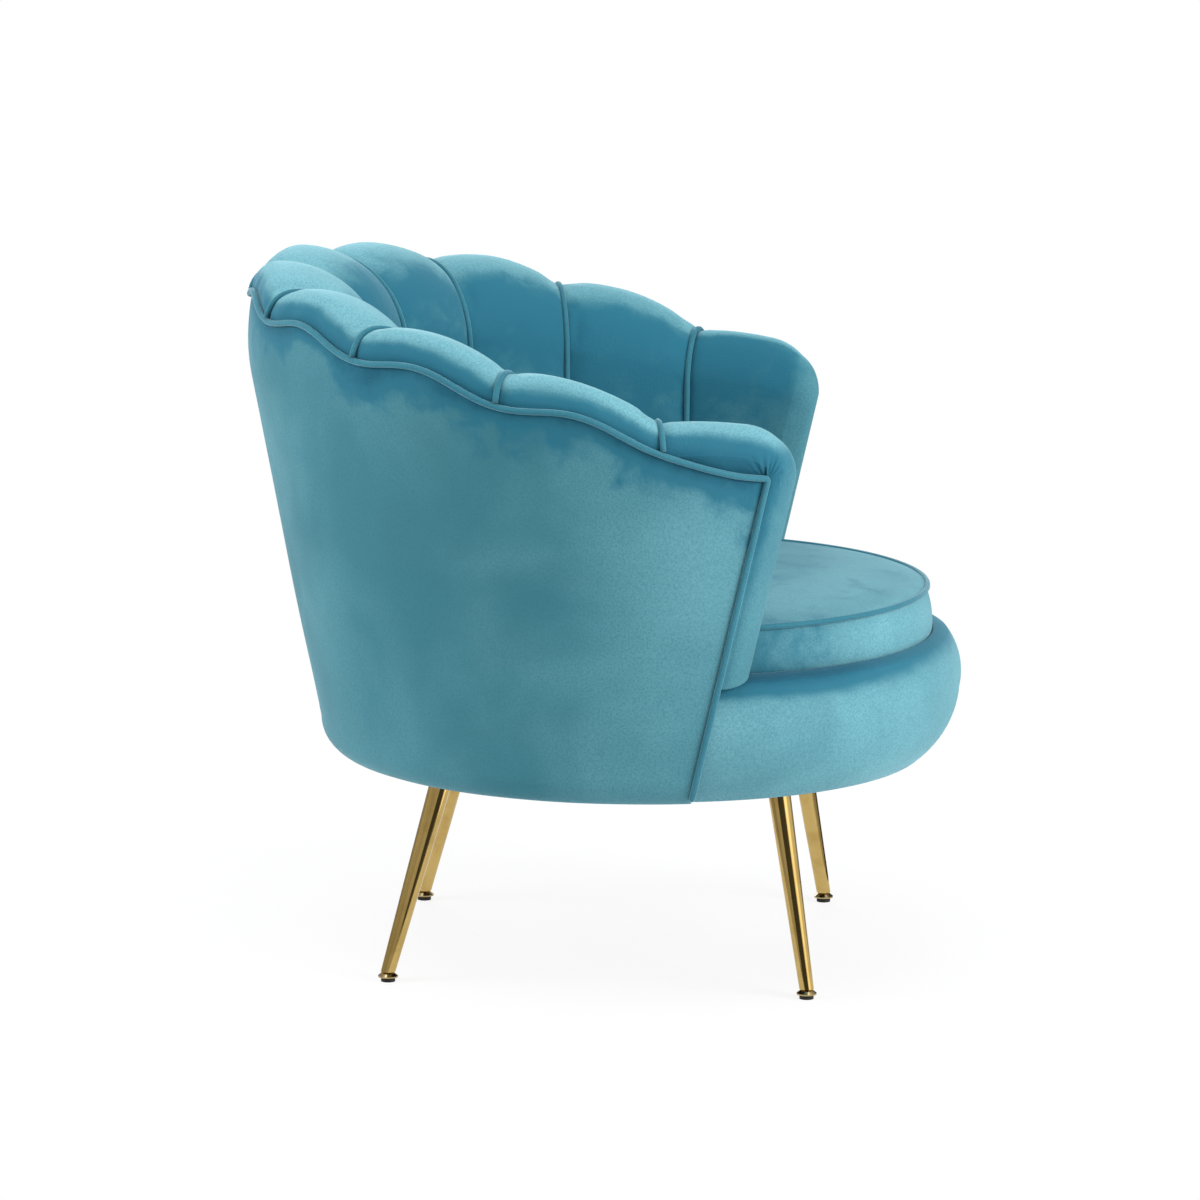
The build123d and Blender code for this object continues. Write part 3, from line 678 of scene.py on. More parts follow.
def plain(name, one, two, scale, rough, bump, stretch=None):
    """Hidden and small materials: two tones, uneven gloss and a fine grain."""
    mat, tree, bsdf = shader(name)
    grain = noise(tree, scale, 5.0, 0.6, 0.5, stretch)
    speck = noise(tree, 300.0, 3.0, 0.6)
    tree.links.new(blend(tree, spread(tree, grain, 0.35, 0.65), one, two), bsdf.inputs["Base Color"])
    tree.links.new(spread(tree, speck, 0.3, 0.7, rough - 0.08, rough + 0.08), bsdf.inputs["Roughness"])
    bsdf.inputs["Specular IOR Level"].default_value = 0.3
    bumps(tree, bsdf, [(grain, bump, 0.0008), (speck, bump, 0.0003)])
    return mat


VELVET = velvet("velvet", deep=rgb("2a6676"), mid=rgb("38727f"), pale_and_lit=rgb("74adb9"), flat_and_shaded=rgb("21677e"),
                dark=rgb("0c4963"), sheen=0.45, tint=rgb("b8deea"))
PIPING = velvet("velvet_piping", deep=rgb("255f72"), mid=rgb("337283"), pale_and_lit=rgb("4c90a0"),
                flat_and_shaded=rgb("246479"), dark=rgb("104b64"), sheen=0.8, tint=rgb("c8e6ee"))
GOLD = metal("gold_plate", rgb("c4a868"), rgb("a88a4c"), 0.07, 0.08)
NICKEL = metal("bright_metal", rgb("b09c72"), rgb("8f7a52"), 0.12, 0.10)
STEEL = metal("steel", rgb("a9abab"), rgb("85888a"), 0.3, 0.15)
PAD = plain("pad_plastic", rgb("151515"), rgb("222222"), 60.0, 0.6, 0.2)
WOOD = plain("frame_wood", rgb("c39a68"), rgb("a67a48"), 14.0, 0.65, 0.25, (1.0, 1.0, 0.12))
WEBBING = plain("webbing", rgb("26262a"), rgb("3a3a3e"), 220.0, 0.8, 0.5)
FOAM = plain("foam", rgb("e3d6b2"), rgb("d2c196"), 90.0, 0.9, 0.5)
DUST = plain("dust_cloth", rgb("121214"), rgb("232326"), 180.0, 0.9, 0.45)
ZIP = plain("zip_tape", rgb("123f4e"), rgb("1b5468"), 240.0, 0.7, 0.5)

SLOT_MATERIALS = {"frame_wood": WOOD, "webbing": WEBBING, "foam": FOAM, "dust_cloth": DUST, "steel": STEEL,
                  "zip_tape": ZIP, "gold_plate": GOLD, "bright_metal": NICKEL, "pad_plastic": PAD,
                  "velvet": VELVET, "velvet_piping": PIPING}
for part in frame["record"]["subparts"]:
    solid = nodes[part["node"]].data
    solid.materials.clear()
    solid.materials.append(SLOT_MATERIALS[part["material_slot"]])


# Petals of the back
def pillow_rise(q):
    """Extra rise of the stuffing across a petal; q is 0 at the seam, 1 in the middle."""
    full = np.sqrt(np.maximum(0.0, 1.0 - (1.0 - q) ** 4)) - (1.0 - (1.0 - q) ** 2)
    return 4.8 * full + 0.9 * math.exp(-((q / 0.10) ** 2)) + 0.8 * q


def held_parts(rows, cols, front=False):
    """Pins: the seams, the hidden back and the foot; free where the padding shows."""
    half_held, front_held = 0.4, 0.25
    pins = np.zeros((rows, cols))
    pins[:, N_SHOWN - 3:] = 1.0
    pins[:, 0] = 1.0
    pins[0, :] = 1.0
    pins[1, :] = np.maximum(pins[1, :], half_held)
    pins[-1, :] = 1.0
    pins[-2, :] = np.maximum(pins[-2, :], half_held)
    if front:
        pins[-6:-2, :] = np.maximum(pins[-6:-2, :], front_held)
    return pins.ravel()


# Lie of the pile with painted shade and painted light: by place round the outline (0 at the rim, about 1 at
# the foot), by height above the piped edge outside (0 at the edge, 1 at the crest), and by height in metres
# on the arm front
PLACE_SCALE = 110.0
RIM_PLACE, FOOT_PLACE = 0.108, 1.10
INSIDE_PILE_AND_SHADE = ([0.10, 0.20, 0.30, 0.42, 0.70, 0.95, 1.0], [0.02, 0.20, 0.60, 0.58, 0.28, 0.10, 0.5])
INSIDE_PAINTED_LIGHT = ([0.12, 0.22, 0.32, 0.60, 0.90, 1.0], [1.0, 0.6, 0.0, 0.1, 0.40, 0.0])
OUTSIDE_PILE_AND_SHADE = ([-2.5, -0.2, 0.30, 0.62, 0.86, 1.0], [0.50, 0.94, 0.84, 0.50, 0.12, 0.0])
OUTSIDE_PAINTED_LIGHT = ([0.3, 0.62, 0.88, 1.0], [0.0, 0.20, 0.85, 1.0])
FRONT_PILE_AND_SHADE = ([0.535, 0.570, 0.600], [0.20, 0.34, 0.10])
FRONT_PAINTED_LIGHT = ([0.535, 0.570, 0.600], [0.16, 0.20, 0.80])


def petal_pile(obj, rows, edges, seed, front=None):
    """Darker pile and painted shade beside the piping and inside under the crest; upright pile and painted
    light over the roll and the arm front.

    front is the share of the rows at which the arm front begins."""
    count, cols = rows.shape[:2]
    co = rows.reshape(-1, 3) * MM
    at = np.tile(np.arange(cols) / cols * PLACE_SCALE / N_SHOWN, count)
    edge = np.interp(np.linspace(0.0, 1.0, count), np.linspace(0.0, 1.0, len(edges)), edges)
    crest = rows[..., 2].max(axis=1)
    up = ((rows[..., 2] - edge[:, None]) / np.maximum(crest - edge, 8.0)[:, None]).ravel()
    # Painted shade: darker beside the piping and under the crest; painted light: paler on top of the roll,
    # over the crest and high on the arm front
    outside = (at < RIM_PLACE) | (at > FOOT_PLACE)
    pile_and_shade = np.where(outside, np.interp(up, *OUTSIDE_PILE_AND_SHADE), np.interp(at, *INSIDE_PILE_AND_SHADE))
    lift = np.where(outside, np.interp(up, *OUTSIDE_PAINTED_LIGHT), np.interp(at, *INSIDE_PAINTED_LIGHT))
    if front is not None:
        ahead = np.repeat(unit((np.arange(count) / count - front) / 0.22), cols)
        pile_and_shade += (np.interp(co[:, 2], *FRONT_PILE_AND_SHADE) - pile_and_shade) * ahead
        lift += (np.interp(co[:, 2], *FRONT_PAINTED_LIGHT) - lift) * ahead
    uneven = wave(seed, 6, 2.0, 7.0)(co)
    set_value(obj, "pile_and_shade", unit(pile_and_shade + 0.14 * uneven))
    set_value(obj, "lift", unit(lift - 0.15 * uneven))
    set_value(obj, "calm", np.where(outside, 0.7, 0.45))


PETALS, ACROSS = 8, 26
for number in range(PETALS):
    rows, edges = [], []
    for k in range(ACROSS + 1):
        t = k / ACROSS
        w = t - SEAM_CROWD * math.sin(2 * math.pi * t)
        turn = -LAST_SEAM + PITCH * (number + w)
        q = 2.0 * min(w, 1.0 - w)
        edge = min(rim_wave(turn), crest_height(turn) - ROLL)
        edges.append(edge)
        turn += SEAM_TURN * (1.0 - 2.0 * t)
        rows.append(petal_loop(radial_slice(turn), crest_height(turn), bulge(turn), edge, pillow_rise(q)))
    rows = refine(soft(rows, held_parts(len(rows), len(rows[0])), 5.0, 0.012, low=400.0))
    petal = rows_object(f"petal_pad_{number + 2}", rows)
    push(petal, 0.0006 * wave(40 + number, 12, 6.0, 22.0)(coords(petal)))
    petal_pile(petal, rows, edges, 70 + number)
    dress(petal, "chair", VELVET, [f"petal_{number + 2}"])


# Arm petals with their rounded fronts
def panel_radius(z):
    """Outer radius of the panel, which turns in below."""
    z = float(z)
    if z >= TURN_Z:
        return shell_radius(z)
    return shell_radius(TURN_Z) - TURN_R + math.sqrt(max(0.0, TURN_R**2 - (TURN_Z - z) ** 2))


def front_point(side, z):
    """Middle of the cord that runs down the arm front."""
    y = edge_y(z)
    r = panel_radius(z) + CORD - 0.2
    return np.array([side * math.sqrt(r**2 - (y - shell_centre(max(z, TURN_Z))) ** 2), y, z])


def gathers(co, side):
    """Fan of small folds that the cover makes round the corner of the piped edge."""
    corner = front_point(side, CORNER_Z - 4.0) * MM
    away = co - corner
    far = np.linalg.norm(away, axis=1)
    angle = np.arctan2(away[:, 2], -away[:, 1])
    fold = np.sin(angle * 24.0 + 1.6 * np.sin(angle * 5.0))
    span = np.exp(-(((far - 0.017) / 0.012) ** 2)) * unit((far - 0.004) / 0.005)
    first, last = unit((angle + 0.9) / 0.4), unit((2.6 - angle) / 0.5)
    return 0.0007 * fold * span * first * last


def arm_lines(share):
    """Crest, fullness, piped edge and rise of the stuffing at a share of the way along the arm."""
    crest = arm_crest(share) - nose_drop(-ARM_RUN * (1.0 - share))
    return crest, 1.0 - (1.0 - share) ** 2, arm_edge(share), pillow_rise(share)


NOSE_TURNS = (0.0, 9.0, 18.0, 28.0, 38.0, 48.0, 58.0, 68.0, 78.0, 86.0, 90.0)
ARM_SHARES = np.concatenate([np.linspace(0.0, 0.72, 9), np.linspace(0.76, 0.97, 8)])
for side, number in ((-1, 1), (1, 10)):
    rows, edges = [], []
    for share in ARM_SHARES:
        cut = radial_slice(side * (LAST_SEAM + SEAM_TURN)) if share == 0.0 else arm_slice(side, share)
        rows.append(petal_loop(cut, *arm_lines(share)))
        edges.append(arm_edge(share))
    shown = petal_outline(arm_slice(side, 1.0), *arm_lines(1.0))
    for turn in NOSE_TURNS:
        rows.append(nose_loop(side, turn, shown))
        edges.append(arm_edge(1.0))
    rows = soft(rows, held_parts(len(rows), len(rows[0]), True), 3.0, 0.004, low=400.0, passes=6)
    rows = refine(refine(rows))
    arm = rows_object(f"petal_pad_{number}", rows)
    push(arm, gathers(coords(arm), side) + 0.0004 * wave(60 + number, 12, 6.0, 22.0)(coords(arm)))
    petal_pile(arm, rows, edges, 90 + number, NOSE_FROM)
    dress(arm, "chair", VELVET, [f"petal_{number}"])

# Piping in the seams between the petals
points, faces = [], []
for k in range(-4, 5):
    turn = PITCH * k
    cut = radial_slice(turn)
    crest = seam_crest(turn)
    rim = cut.shell(crest - ROLL, SKIN)
    top_z = crest - INNER_TOP
    high = cut.reach(top_z, SEAT_Y, inner_radius(top_z) + SWELL)
    low = cut.reach(CORD_END, SEAT_Y, inner_radius(CORD_END) + SWELL)
    arc, end = over_rim(rim, crest - ROLL, 1.0, rim - ROLL - high, SEAM_LIFT, 12.0)
    path = np.concatenate([arc, np.linspace(end, (low - SEAM_LIFT, CORD_END), 36)])
    rings = tube_rows(resample(cut.place(path[:, 0], path[:, 1]), 5.0), CORD)
    first = sum(len(p) for p in points)
    count, sides = rings.shape[:2]
    points.append(rings.reshape(-1, 3))
    faces += [tuple(first + v for v in face) for face in grid_faces(count, sides)]
    for start in (first, first + (count - 1) * sides):
        faces.append(tuple(start + j for j in range(sides)))
channels = make_object("channel_cords", np.concatenate(points), faces)
face_out(channels)
dress(channels, "chair", PIPING, ["channel_piping"])


# Outer panel: smooth wall with a scalloped top, turned in below
def front_limit(z):
    """Angle round the shell's own middle at which the arm front edge lies."""
    return math.acos((edge_y(z) + EDGE_GAP - shell_centre(z)) / shell_radius(z))


def shell_point(angle, z, depth):
    r = shell_radius(z) - depth
    return np.array([r * math.sin(angle), shell_centre(z) + r * math.cos(angle), z])


def panel_top(share):
    """Height at which the panel meets the piped edge, found by small steps."""
    z = LEAN_Z
    for _ in range(25):
        p = shell_point(share * front_limit(z), z, 0.0)
        turn = math.degrees(math.atan2(p[0], p[1]))
        z += 0.6 * (rim_wave(turn) + 0.8 - z)
    return z


# Width of the turned front edge by height: wider where it meets the shoulder of the base
END_WIDTHS = ([300.0, 311.0, 325.0, 336.0, 346.0], [END_WALL, 14.0, 18.0, 23.0, END_WALL])


def end_point(share, z):
    """Inner corner of the panel's turned front edge."""
    point = shell_point(share * front_limit(z), z, 0.0)
    point[0] -= share * np.interp(z, *END_WIDTHS)
    return point


def panel_column(share, inside):
    """Points down one line of the panel, on its outside or its inside."""
    column = []
    at_end = inside and abs(share) > 0.999
    depth = END_WALL if at_end else WALL if inside else 0.0
    for z in np.linspace(panel_top(share), TURN_Z, 70):
        column.append(end_point(share, z) if at_end else shell_point(share * front_limit(z), z, depth))
    y_mid = shell_centre(TURN_Z)
    for t in np.radians(np.linspace(0.0, 90.0, 12)[1:]):
        z = TURN_Z - (TURN_R - depth) * math.sin(t)
        r = shell_radius(TURN_Z) - TURN_R + (TURN_R - depth) * math.cos(t)
        limit = math.acos(max(-1.0, (edge_y(z) + EDGE_GAP - y_mid) / r))
        column.append(np.array([r * math.sin(share * limit), y_mid + r * math.cos(share * limit), z]))
    return column


shares = np.linspace(-1.0, 1.0, 241)
rows = []
for share in shares:
    rows.append(np.array(panel_column(share, False) + panel_column(share, True)[::-1]))
panel = rows_object("outer_cover", rows)
co = coords(panel)
below = np.array([panel_top(share) for share in shares]).repeat(len(rows[0])) * MM - co[:, 2]
tall = len(rows[0]) // 2
side_share = np.abs(np.repeat(shares, len(rows[0])))
broad = 0.0009 * wave(5, 14, 5.0, 16.0)(co) * unit(below / 0.03)
pucker = wave(7, 16, 20.0, 60.0)(co * np.array([1.0, 1.0, 0.25]))
close = np.exp(-((below / 0.022) ** 2)) * unit(below / 0.004)
outside = np.tile(np.arange(len(rows[0])) < tall, len(rows))
push(panel, (broad + 0.0006 * pucker * close) * outside)
patchy = np.clip(0.80 + 0.65 * wave(6, 12, 8.0, 26.0)(co), 0.15, 1.6)
# Painted shade: a narrow dark band right under the piping, a wider band mixed with patches of pile laid the
# other way, and darkening beside the front piping
pile_and_shade = 0.58 * np.exp(-((below / 0.014) ** 2)) + 0.62 * np.exp(-((below / 0.042) ** 2)) * patchy
pile_and_shade += 0.10 * np.exp(-((below / 0.14) ** 2))
pile_and_shade += 0.20 * unit((side_share - 0.955) / 0.03) * np.exp(-((below / 0.12) ** 2)) * patchy
set_value(panel, "pile_and_shade", unit(pile_and_shade))
# Painted light: paler towards the front edges and higher up, less where the painted shade lies
ahead = unit((side_share - 0.70) / 0.25)
height = unit((co[:, 2] - 0.25) / 0.2)
lift = (0.10 + 0.22 * height) * ahead * ahead * (3.0 - 2.0 * ahead) - 0.4 * pile_and_shade
set_value(panel, "lift", unit(lift))
dress(panel, "chair", VELVET, ["outer_panel"])


# Piped edge of the outer panel
def rim_point(turn):
    """Middle of the cord along the rim."""
    cut = radial_slice(turn)
    z = rim_wave(turn) + 2.0
    return cut.place(np.array(cut.shell(z) + CORD - 0.4), np.array(z))


def evened(path, times_over):
    """Path with its small kinks eased out, ends kept."""
    path = np.array(path, float)
    for _ in range(times_over):
        path[1:-1] = 0.25 * path[:-2] + 0.5 * path[1:-1] + 0.25 * path[2:]
    return path


heights = np.concatenate([np.linspace(221.0, TURN_Z, 10), np.linspace(TURN_Z + 3.0, CORNER_Z, 90)])
arm_run = np.array([front_point(-1, z) for z in heights])
corners = [front_point(side, CORNER_Z + 1.5) for side in (-1, 1)]
rim_run = [rim_point(turn) for turn in np.linspace(-116.0, 116.0, 500)]
rim_run = evened(resample(corners[:1] + rim_run + corners[1:], 3.0), 22)
path = np.concatenate([arm_run, rim_run, arm_run[::-1] * np.array([-1.0, 1.0, 1.0])])
path = evened(resample(path, 2.0), 2)
welt = rows_object("outer_cord", tube_rows(path, CORD + 0.2))
dress(welt, "chair", PIPING, ["outer_piping"])


# Base: padded front and the deck under the cushion
def three_point_arc(a, b, c, count):
    """Points on the circle through three points, from the first to the last."""
    (ax, ay), (bx, by), (cx, cy) = a, b, c
    d = 2 * (ax * (by - cy) + bx * (cy - ay) + cx * (ay - by))
    ux = ((ax**2 + ay**2) * (by - cy) + (bx**2 + by**2) * (cy - ay) + (cx**2 + cy**2) * (ay - by)) / d
    uy = ((ax**2 + ay**2) * (cx - bx) + (bx**2 + by**2) * (ax - cx) + (cx**2 + cy**2) * (bx - ax)) / d
    r = math.hypot(ax - ux, ay - uy)
    t0, t1, t2 = (math.atan2(p[1] - uy, p[0] - ux) for p in (a, b, c))
    t1 = t0 + (t1 - t0 + math.pi) % (2 * math.pi) - math.pi
    t2 = t1 + (t2 - t1 + math.pi) % (2 * math.pi) - math.pi
    ang = np.linspace(t0, t2, count, endpoint=False)
    return np.stack([ux + r * np.cos(ang), uy + r * np.sin(ang)], axis=1)


low = (BASE_R - 39.0, BASE_BOTTOM)
shoulder = (BASE_R, BASE_DECK - 43.4)
brow = (BASE_R - 12.0, BASE_DECK + 10.6)
lip_top = (BASE_R - LIP_IN, BASE_DECK + 15.0)
lip_foot = (BASE_R - 26.5, BASE_DECK - 2.0)
heel = (BASE_R - 60.0, BASE_BOTTOM)
profile = np.concatenate([
    three_point_arc(low, (BASE_R - 14.0, BASE_BOTTOM + 27.0), shoulder, 18),
    three_point_arc(shoulder, (BASE_R, BASE_DECK - 15.4), brow, 12),
    three_point_arc(brow, (BASE_R - 18.5, BASE_DECK + 13.4), lip_top, 6),
    np.linspace(lip_top, lip_foot, 5, endpoint=False),
    np.linspace(lip_foot, (BASE_R - 48.5, BASE_DECK - 3.0), 4, endpoint=False),
    np.linspace((BASE_R - 52.0, BASE_DECK - 3.0), heel, 14, endpoint=False),
    np.linspace(heel, low, 4, endpoint=False),
])
# Points of the profile at which the brow, the lip and the hidden inside begin
BROW_AT, LIP_AT, INSIDE_AT = 30, 36, 45
forward = BASE_Y - CUSHION_Y
rows = []
for share in np.linspace(-1.0, 1.0, 141):
    ring = []
    for k, (r, z) in enumerate(profile):
        y = edge_y(z) + BASE_TUCK - BASE_Y
        turn = share * (math.pi - math.acos(max(-1.0, min(1.0, y / r))))
        # The lip reaches in to just outside the cushion, which stands a little further forward
        lip = forward * math.cos(turn) + math.sqrt(LIP_R**2 - (forward * math.sin(turn)) ** 2)
        if BROW_AT <= k < LIP_AT:
            r = brow[0] + (r - brow[0]) * (brow[0] - lip) / (brow[0] - BASE_R + LIP_IN)
        elif LIP_AT <= k < INSIDE_AT:
            r += lip - BASE_R + LIP_IN
        ring.append((r * math.sin(turn), BASE_Y - r * math.cos(turn), z))
    rows.append(ring)
pins = np.zeros((len(rows), len(profile)))
pins[:, LIP_AT:] = 1.0
pins[:, 0] = 1.0
pins[0, :] = 1.0
pins[-1, :] = 1.0
base = rows_object("base_front", refine(soft(rows, pins, 2.5, 0.0, passes=3)))
co = coords(base)
reach = np.hypot(co[:, 0], co[:, 1] - BASE_Y * MM)
# Painted shade, with darker laid-down pile, on the top of the lip where it meets the cushion, strongest
# towards the back; painted light pales the rest of the base front
crease_pile_and_shade = unit((co[:, 2] - 0.300) / 0.040) ** 1.8 * unit((0.330 - reach) / 0.012)
crease_pile_and_shade *= 0.42 + 0.58 * unit((co[:, 1] + 0.345) / 0.09)
uneven = wave(11, 6, 2.0, 7.0)(co)
set_value(base, "pile_and_shade", np.clip(0.05 + 1.20 * crease_pile_and_shade + 0.06 * uneven, 0.0, 1.6))
set_value(base, "lift", unit(0.55 - 0.25 * uneven - 0.6 * crease_pile_and_shade))
set_value(base, "calm", np.full(len(co), 0.75))
dress(base, "chair", VELVET, ["base_cover", "base_pad"])

deck_section = [(0.5, 326.2), (90.0, 326.2), (180.0, 326.1), (262.0, 325.8), (272.0, 324.6), (275.5, 321.0),
                (275.5, 316.0), (180.0, 314.2), (0.5, 314.2)]
deck = rows_object("seat_deck", [ring_row(r, z, SEAT_Y, 128) for r, z in deck_section])
dress(deck, "chair", VELVET, [])

# Seat cushion: crowned cover, piped edges and a zip at the back
crown = [(0.6, 396.8), (40.0, 396.7), (80.0, 396.4), (120.0, 395.8), (160.0, 394.9), (195.0, 393.7),
         (225.0, 392.2), (245.0, 390.9), (257.0, 389.8), (264.5, 388.9)]
top_seam = [(269.0, 388.2), (271.4, 387.0), (271.6, 384.4)]
boxing = [(273.4, 379.6), (275.8, 371.5), (277.8, 361.5), (278.8, 351.5), (278.8, 343.0), (276.4, 336.0)]
underside = [(271.8, 331.6), (267.0, 328.8), (258.0, 327.4), (240.0, 327.0), (190.0, 326.9), (130.0, 326.8),
             (70.0, 326.8), (0.6, 326.8)]
section = crown + top_seam + boxing + underside
ROUND = 160
rows = [ring_row(r, z, CUSHION_Y, ROUND) for r, z in section]
pins = np.zeros((len(section), ROUND))
pins[len(crown):len(crown + top_seam), :] = 1.0
pins[len(crown + top_seam + boxing):, :] = 1.0
rows = refine(soft(rows, pins, 2.5, 0.0, passes=3))
wide = np.hypot(rows[..., 0], rows[..., 1] - CUSHION_Y)
inward = np.minimum(1.0, CUSHION_BULGE / np.maximum(wide, 1.0))
rows[..., 0] *= inward
rows[..., 1] = CUSHION_Y + (rows[..., 1] - CUSHION_Y) * inward
cushion = rows_object("cushion", rows)
co = coords(cushion)
top = unit((co[:, 2] - 0.386) / 0.006)
co[:, 2] += 0.0008 * wave(8, 9, 3.0, 9.0)(co) * top
set_coords(cushion, co)
# Painted shade low on the boxing over the base and on the boxing towards the back; painted light pales the
# boxing, the top much less
low = unit((0.338 - co[:, 2]) / 0.012)
uneven = wave(9, 8, 2.0, 6.0)(co)
rear_shade = unit((co[:, 1] + 0.30) / 0.09) * (1.0 - top)
set_value(cushion, "pile_and_shade", unit(0.10 + 0.20 * top + 0.14 * uneven + 0.40 * rear_shade + 0.5 * low))
set_value(cushion, "lift", unit(0.75 - 0.50 * top - 0.2 * uneven - 0.5 * rear_shade - low))
set_value(cushion, "calm", np.full(len(co), 0.4))
dress(cushion, "seat_cushion", VELVET, ["cushion_cover", "cushion_foam"])

for label, r, z in (("top", CUSHION_R + 1.7, 386.6), ("bottom", CUSHION_R + 1.4, 330.2)):
    rings = tube_rows(ring_row(r, z, CUSHION_Y, 360), CORD, closed=True)
    cord = make_object(f"cushion_cord_{label}", rings.reshape(-1, 3), grid_faces(*rings.shape[:2], True))
    face_out(cord)
    dress(cord, "seat_cushion", PIPING, [f"cushion_piping_{label}"])


# Zip: a tape and a row of teeth made in Geometry Nodes
def arc_line(r, half_turn, count, up=0.0):
    """Line along the back of the cushion, on the level of the zip."""
    ang = np.radians(np.linspace(-half_turn, half_turn, count))
    return np.stack([r * np.sin(ang), CUSHION_Y + r * np.cos(ang), np.full(count, ZIP_Z + up)], axis=1)


tape_section = ((0.0, -4.6), (0.0, 4.6), (1.0, 4.4), (1.0, 1.4),
                (0.5, 1.0), (0.5, -1.0), (1.0, -1.4), (1.0, -4.4))
tape_lines = [arc_line(ZIP_R + out, 60.0, 121, up) for out, up in tape_section]
tape = rows_object("cushion_zip_tape", np.stack(tape_lines, axis=1))
dress(tape, "seat_cushion", ZIP, ["cushion_zip"])


def teeth_group():
    """Places a tooth at equal steps along the zip line."""
    group = bpy.data.node_groups.new("zip_teeth", "GeometryNodeTree")
    face = group.interface
    face.new_socket("Geometry", in_out="INPUT", socket_type="NodeSocketGeometry")
    gap = face.new_socket("Tooth spacing", in_out="INPUT", socket_type="NodeSocketFloat")
    gap.default_value = 0.0024
    size = face.new_socket("Tooth size", in_out="INPUT", socket_type="NodeSocketVector")
    size.default_value = (0.0012, 0.0013, 0.0022)
    finish = face.new_socket("Finish", in_out="INPUT", socket_type="NodeSocketMaterial")
    finish.default_value = ZIP
    face.new_socket("Geometry", in_out="OUTPUT", socket_type="NodeSocketGeometry")
    make = group.nodes.new
    given, out = make("NodeGroupInput"), make("NodeGroupOutput")
    line = make("GeometryNodeMeshToCurve")
    even = make("GeometryNodeResampleCurve")
    even.mode = "LENGTH"
    tangent = make("GeometryNodeInputTangent")
    aim = make("FunctionNodeAlignEulerToVector")
    aim.axis = "X"
    tooth = make("GeometryNodeMeshCube")
    round_off = make("GeometryNodeSubdivisionSurface")
    place = make("GeometryNodeInstanceOnPoints")
    real = make("GeometryNodeRealizeInstances")
    paint = make("GeometryNodeSetMaterial")
    for start, output, end, entry in (
        (given, "Geometry", line, "Mesh"),
        (line, "Curve", even, "Curve"),
        (given, "Tooth spacing", even, "Length"),
        (given, "Tooth size", tooth, "Size"),
        (tooth, "Mesh", round_off, "Mesh"),
        (even, "Curve", place, "Points"),
        (round_off, "Mesh", place, "Instance"),
        (tangent, "Tangent", aim, "Vector"),
        (aim, "Rotation", place, "Rotation"),
        (place, "Instances", real, "Geometry"),
        (real, "Geometry", paint, "Geometry"),
        (given, "Finish", paint, "Material"),
        (paint, "Geometry", out, "Geometry"),
    ):
        group.links.new(start.outputs[output], end.inputs[entry])
    return group


line = arc_line(ZIP_R + 0.7, 59.0, 200) * MM
mesh = bpy.data.meshes.new("cushion_zip_teeth")
mesh.from_pydata([tuple(p) for p in line], [(k, k + 1) for k in range(len(line) - 1)], [])
teeth = bpy.data.objects.new("cushion_zip_teeth", mesh)
scene.collection.objects.link(teeth)
mod = teeth.modifiers.new("teeth", "NODES")
mod.node_group = teeth_group()
dg = bpy.context.evaluated_depsgraph_get()
teeth.data = bpy.data.meshes.new_from_object(teeth.evaluated_get(dg), depsgraph=dg)
teeth.modifiers.clear()
dress(teeth, "seat_cushion", ZIP)

# Dust cloth stapled under the base
SHEET_R = 280.0
STAPLE_WAVES = 40
rows = []
for r in (0.02, 60.0, 120.0, 180.0, 225.0, 255.0, 270.0, SHEET_R - 0.2):
    row = ring_row(r, 217.5, RING_Y, 160)
    ripple = 0.15 * max(0.0, (r - 225.0) / 55.0)
    turns = np.linspace(0.0, 2 * math.pi, len(row), endpoint=False)
    row[:, 2] += ripple * np.sin(turns * STAPLE_WAVES) - 1.6 * max(0.0, 1.0 - (r / 262.0) ** 2)
    rows.append(row)
dust = rows_object("dust_sheet", rows, caps=False)
dress(dust, "chair", DUST, ["dust_cover"])


# Floor and backdrop
def seen_directly(tree):
    """1 for rays from the camera, in mirrors and through glass, 0 for those that light the chair."""
    ray = node(tree, "ShaderNodeLightPath")
    seen = times(tree, ray.outputs["Is Camera Ray"], ray.outputs["Is Glossy Ray"], "MAXIMUM")
    return times(tree, seen, ray.outputs["Is Transmission Ray"], "MAXIMUM")


floor_mat, tree, bsdf = shader("floor")
bsdf.inputs["Base Color"].default_value = (0.9, 0.9, 0.9, 1.0)
bsdf.inputs["Roughness"].default_value = 0.9
glow = node(tree, "ShaderNodeEmission", Strength=1.0)
mix = node(tree, "ShaderNodeMixShader")
spot = node(tree, "ShaderNodeTexCoord")
span = node(tree, "ShaderNodeVectorMath", operation="LENGTH")
tree.links.new(spot.outputs["Object"], span.inputs[0])
# Near the chair the floor keeps a little of its shadow, further out it is plain white
white = spread(tree, span.outputs["Value"], 0.45, 1.3, 0.86, 1.0)
tree.links.new(times(tree, seen_directly(tree), white), mix.inputs["Fac"])
tree.links.new(bsdf.outputs["BSDF"], mix.inputs[1])
tree.links.new(glow.outputs["Emission"], mix.inputs[2])
tree.links.new(mix.outputs["Shader"], tree.nodes["Material Output"].inputs["Surface"])
FLOOR_HALF = 9000
corners = [(x * FLOOR_HALF, y * FLOOR_HALF, 0) for x, y in ((-1, -1), (1, -1), (1, 1), (-1, 1))]
floor = make_object("floor", corners, [(0, 1, 2, 3)])
floor.data.materials.append(floor_mat)

world = bpy.data.worlds.new("studio")
scene.world = world
world.use_nodes = True
tree = world.node_tree
back = tree.nodes["Background"]
tree.links.new(spread(tree, seen_directly(tree), 0.0, 1.0, 0.34, 1.0), back.inputs["Strength"])
back.inputs["Color"].default_value = (1.0, 1.0, 1.0, 1.0)


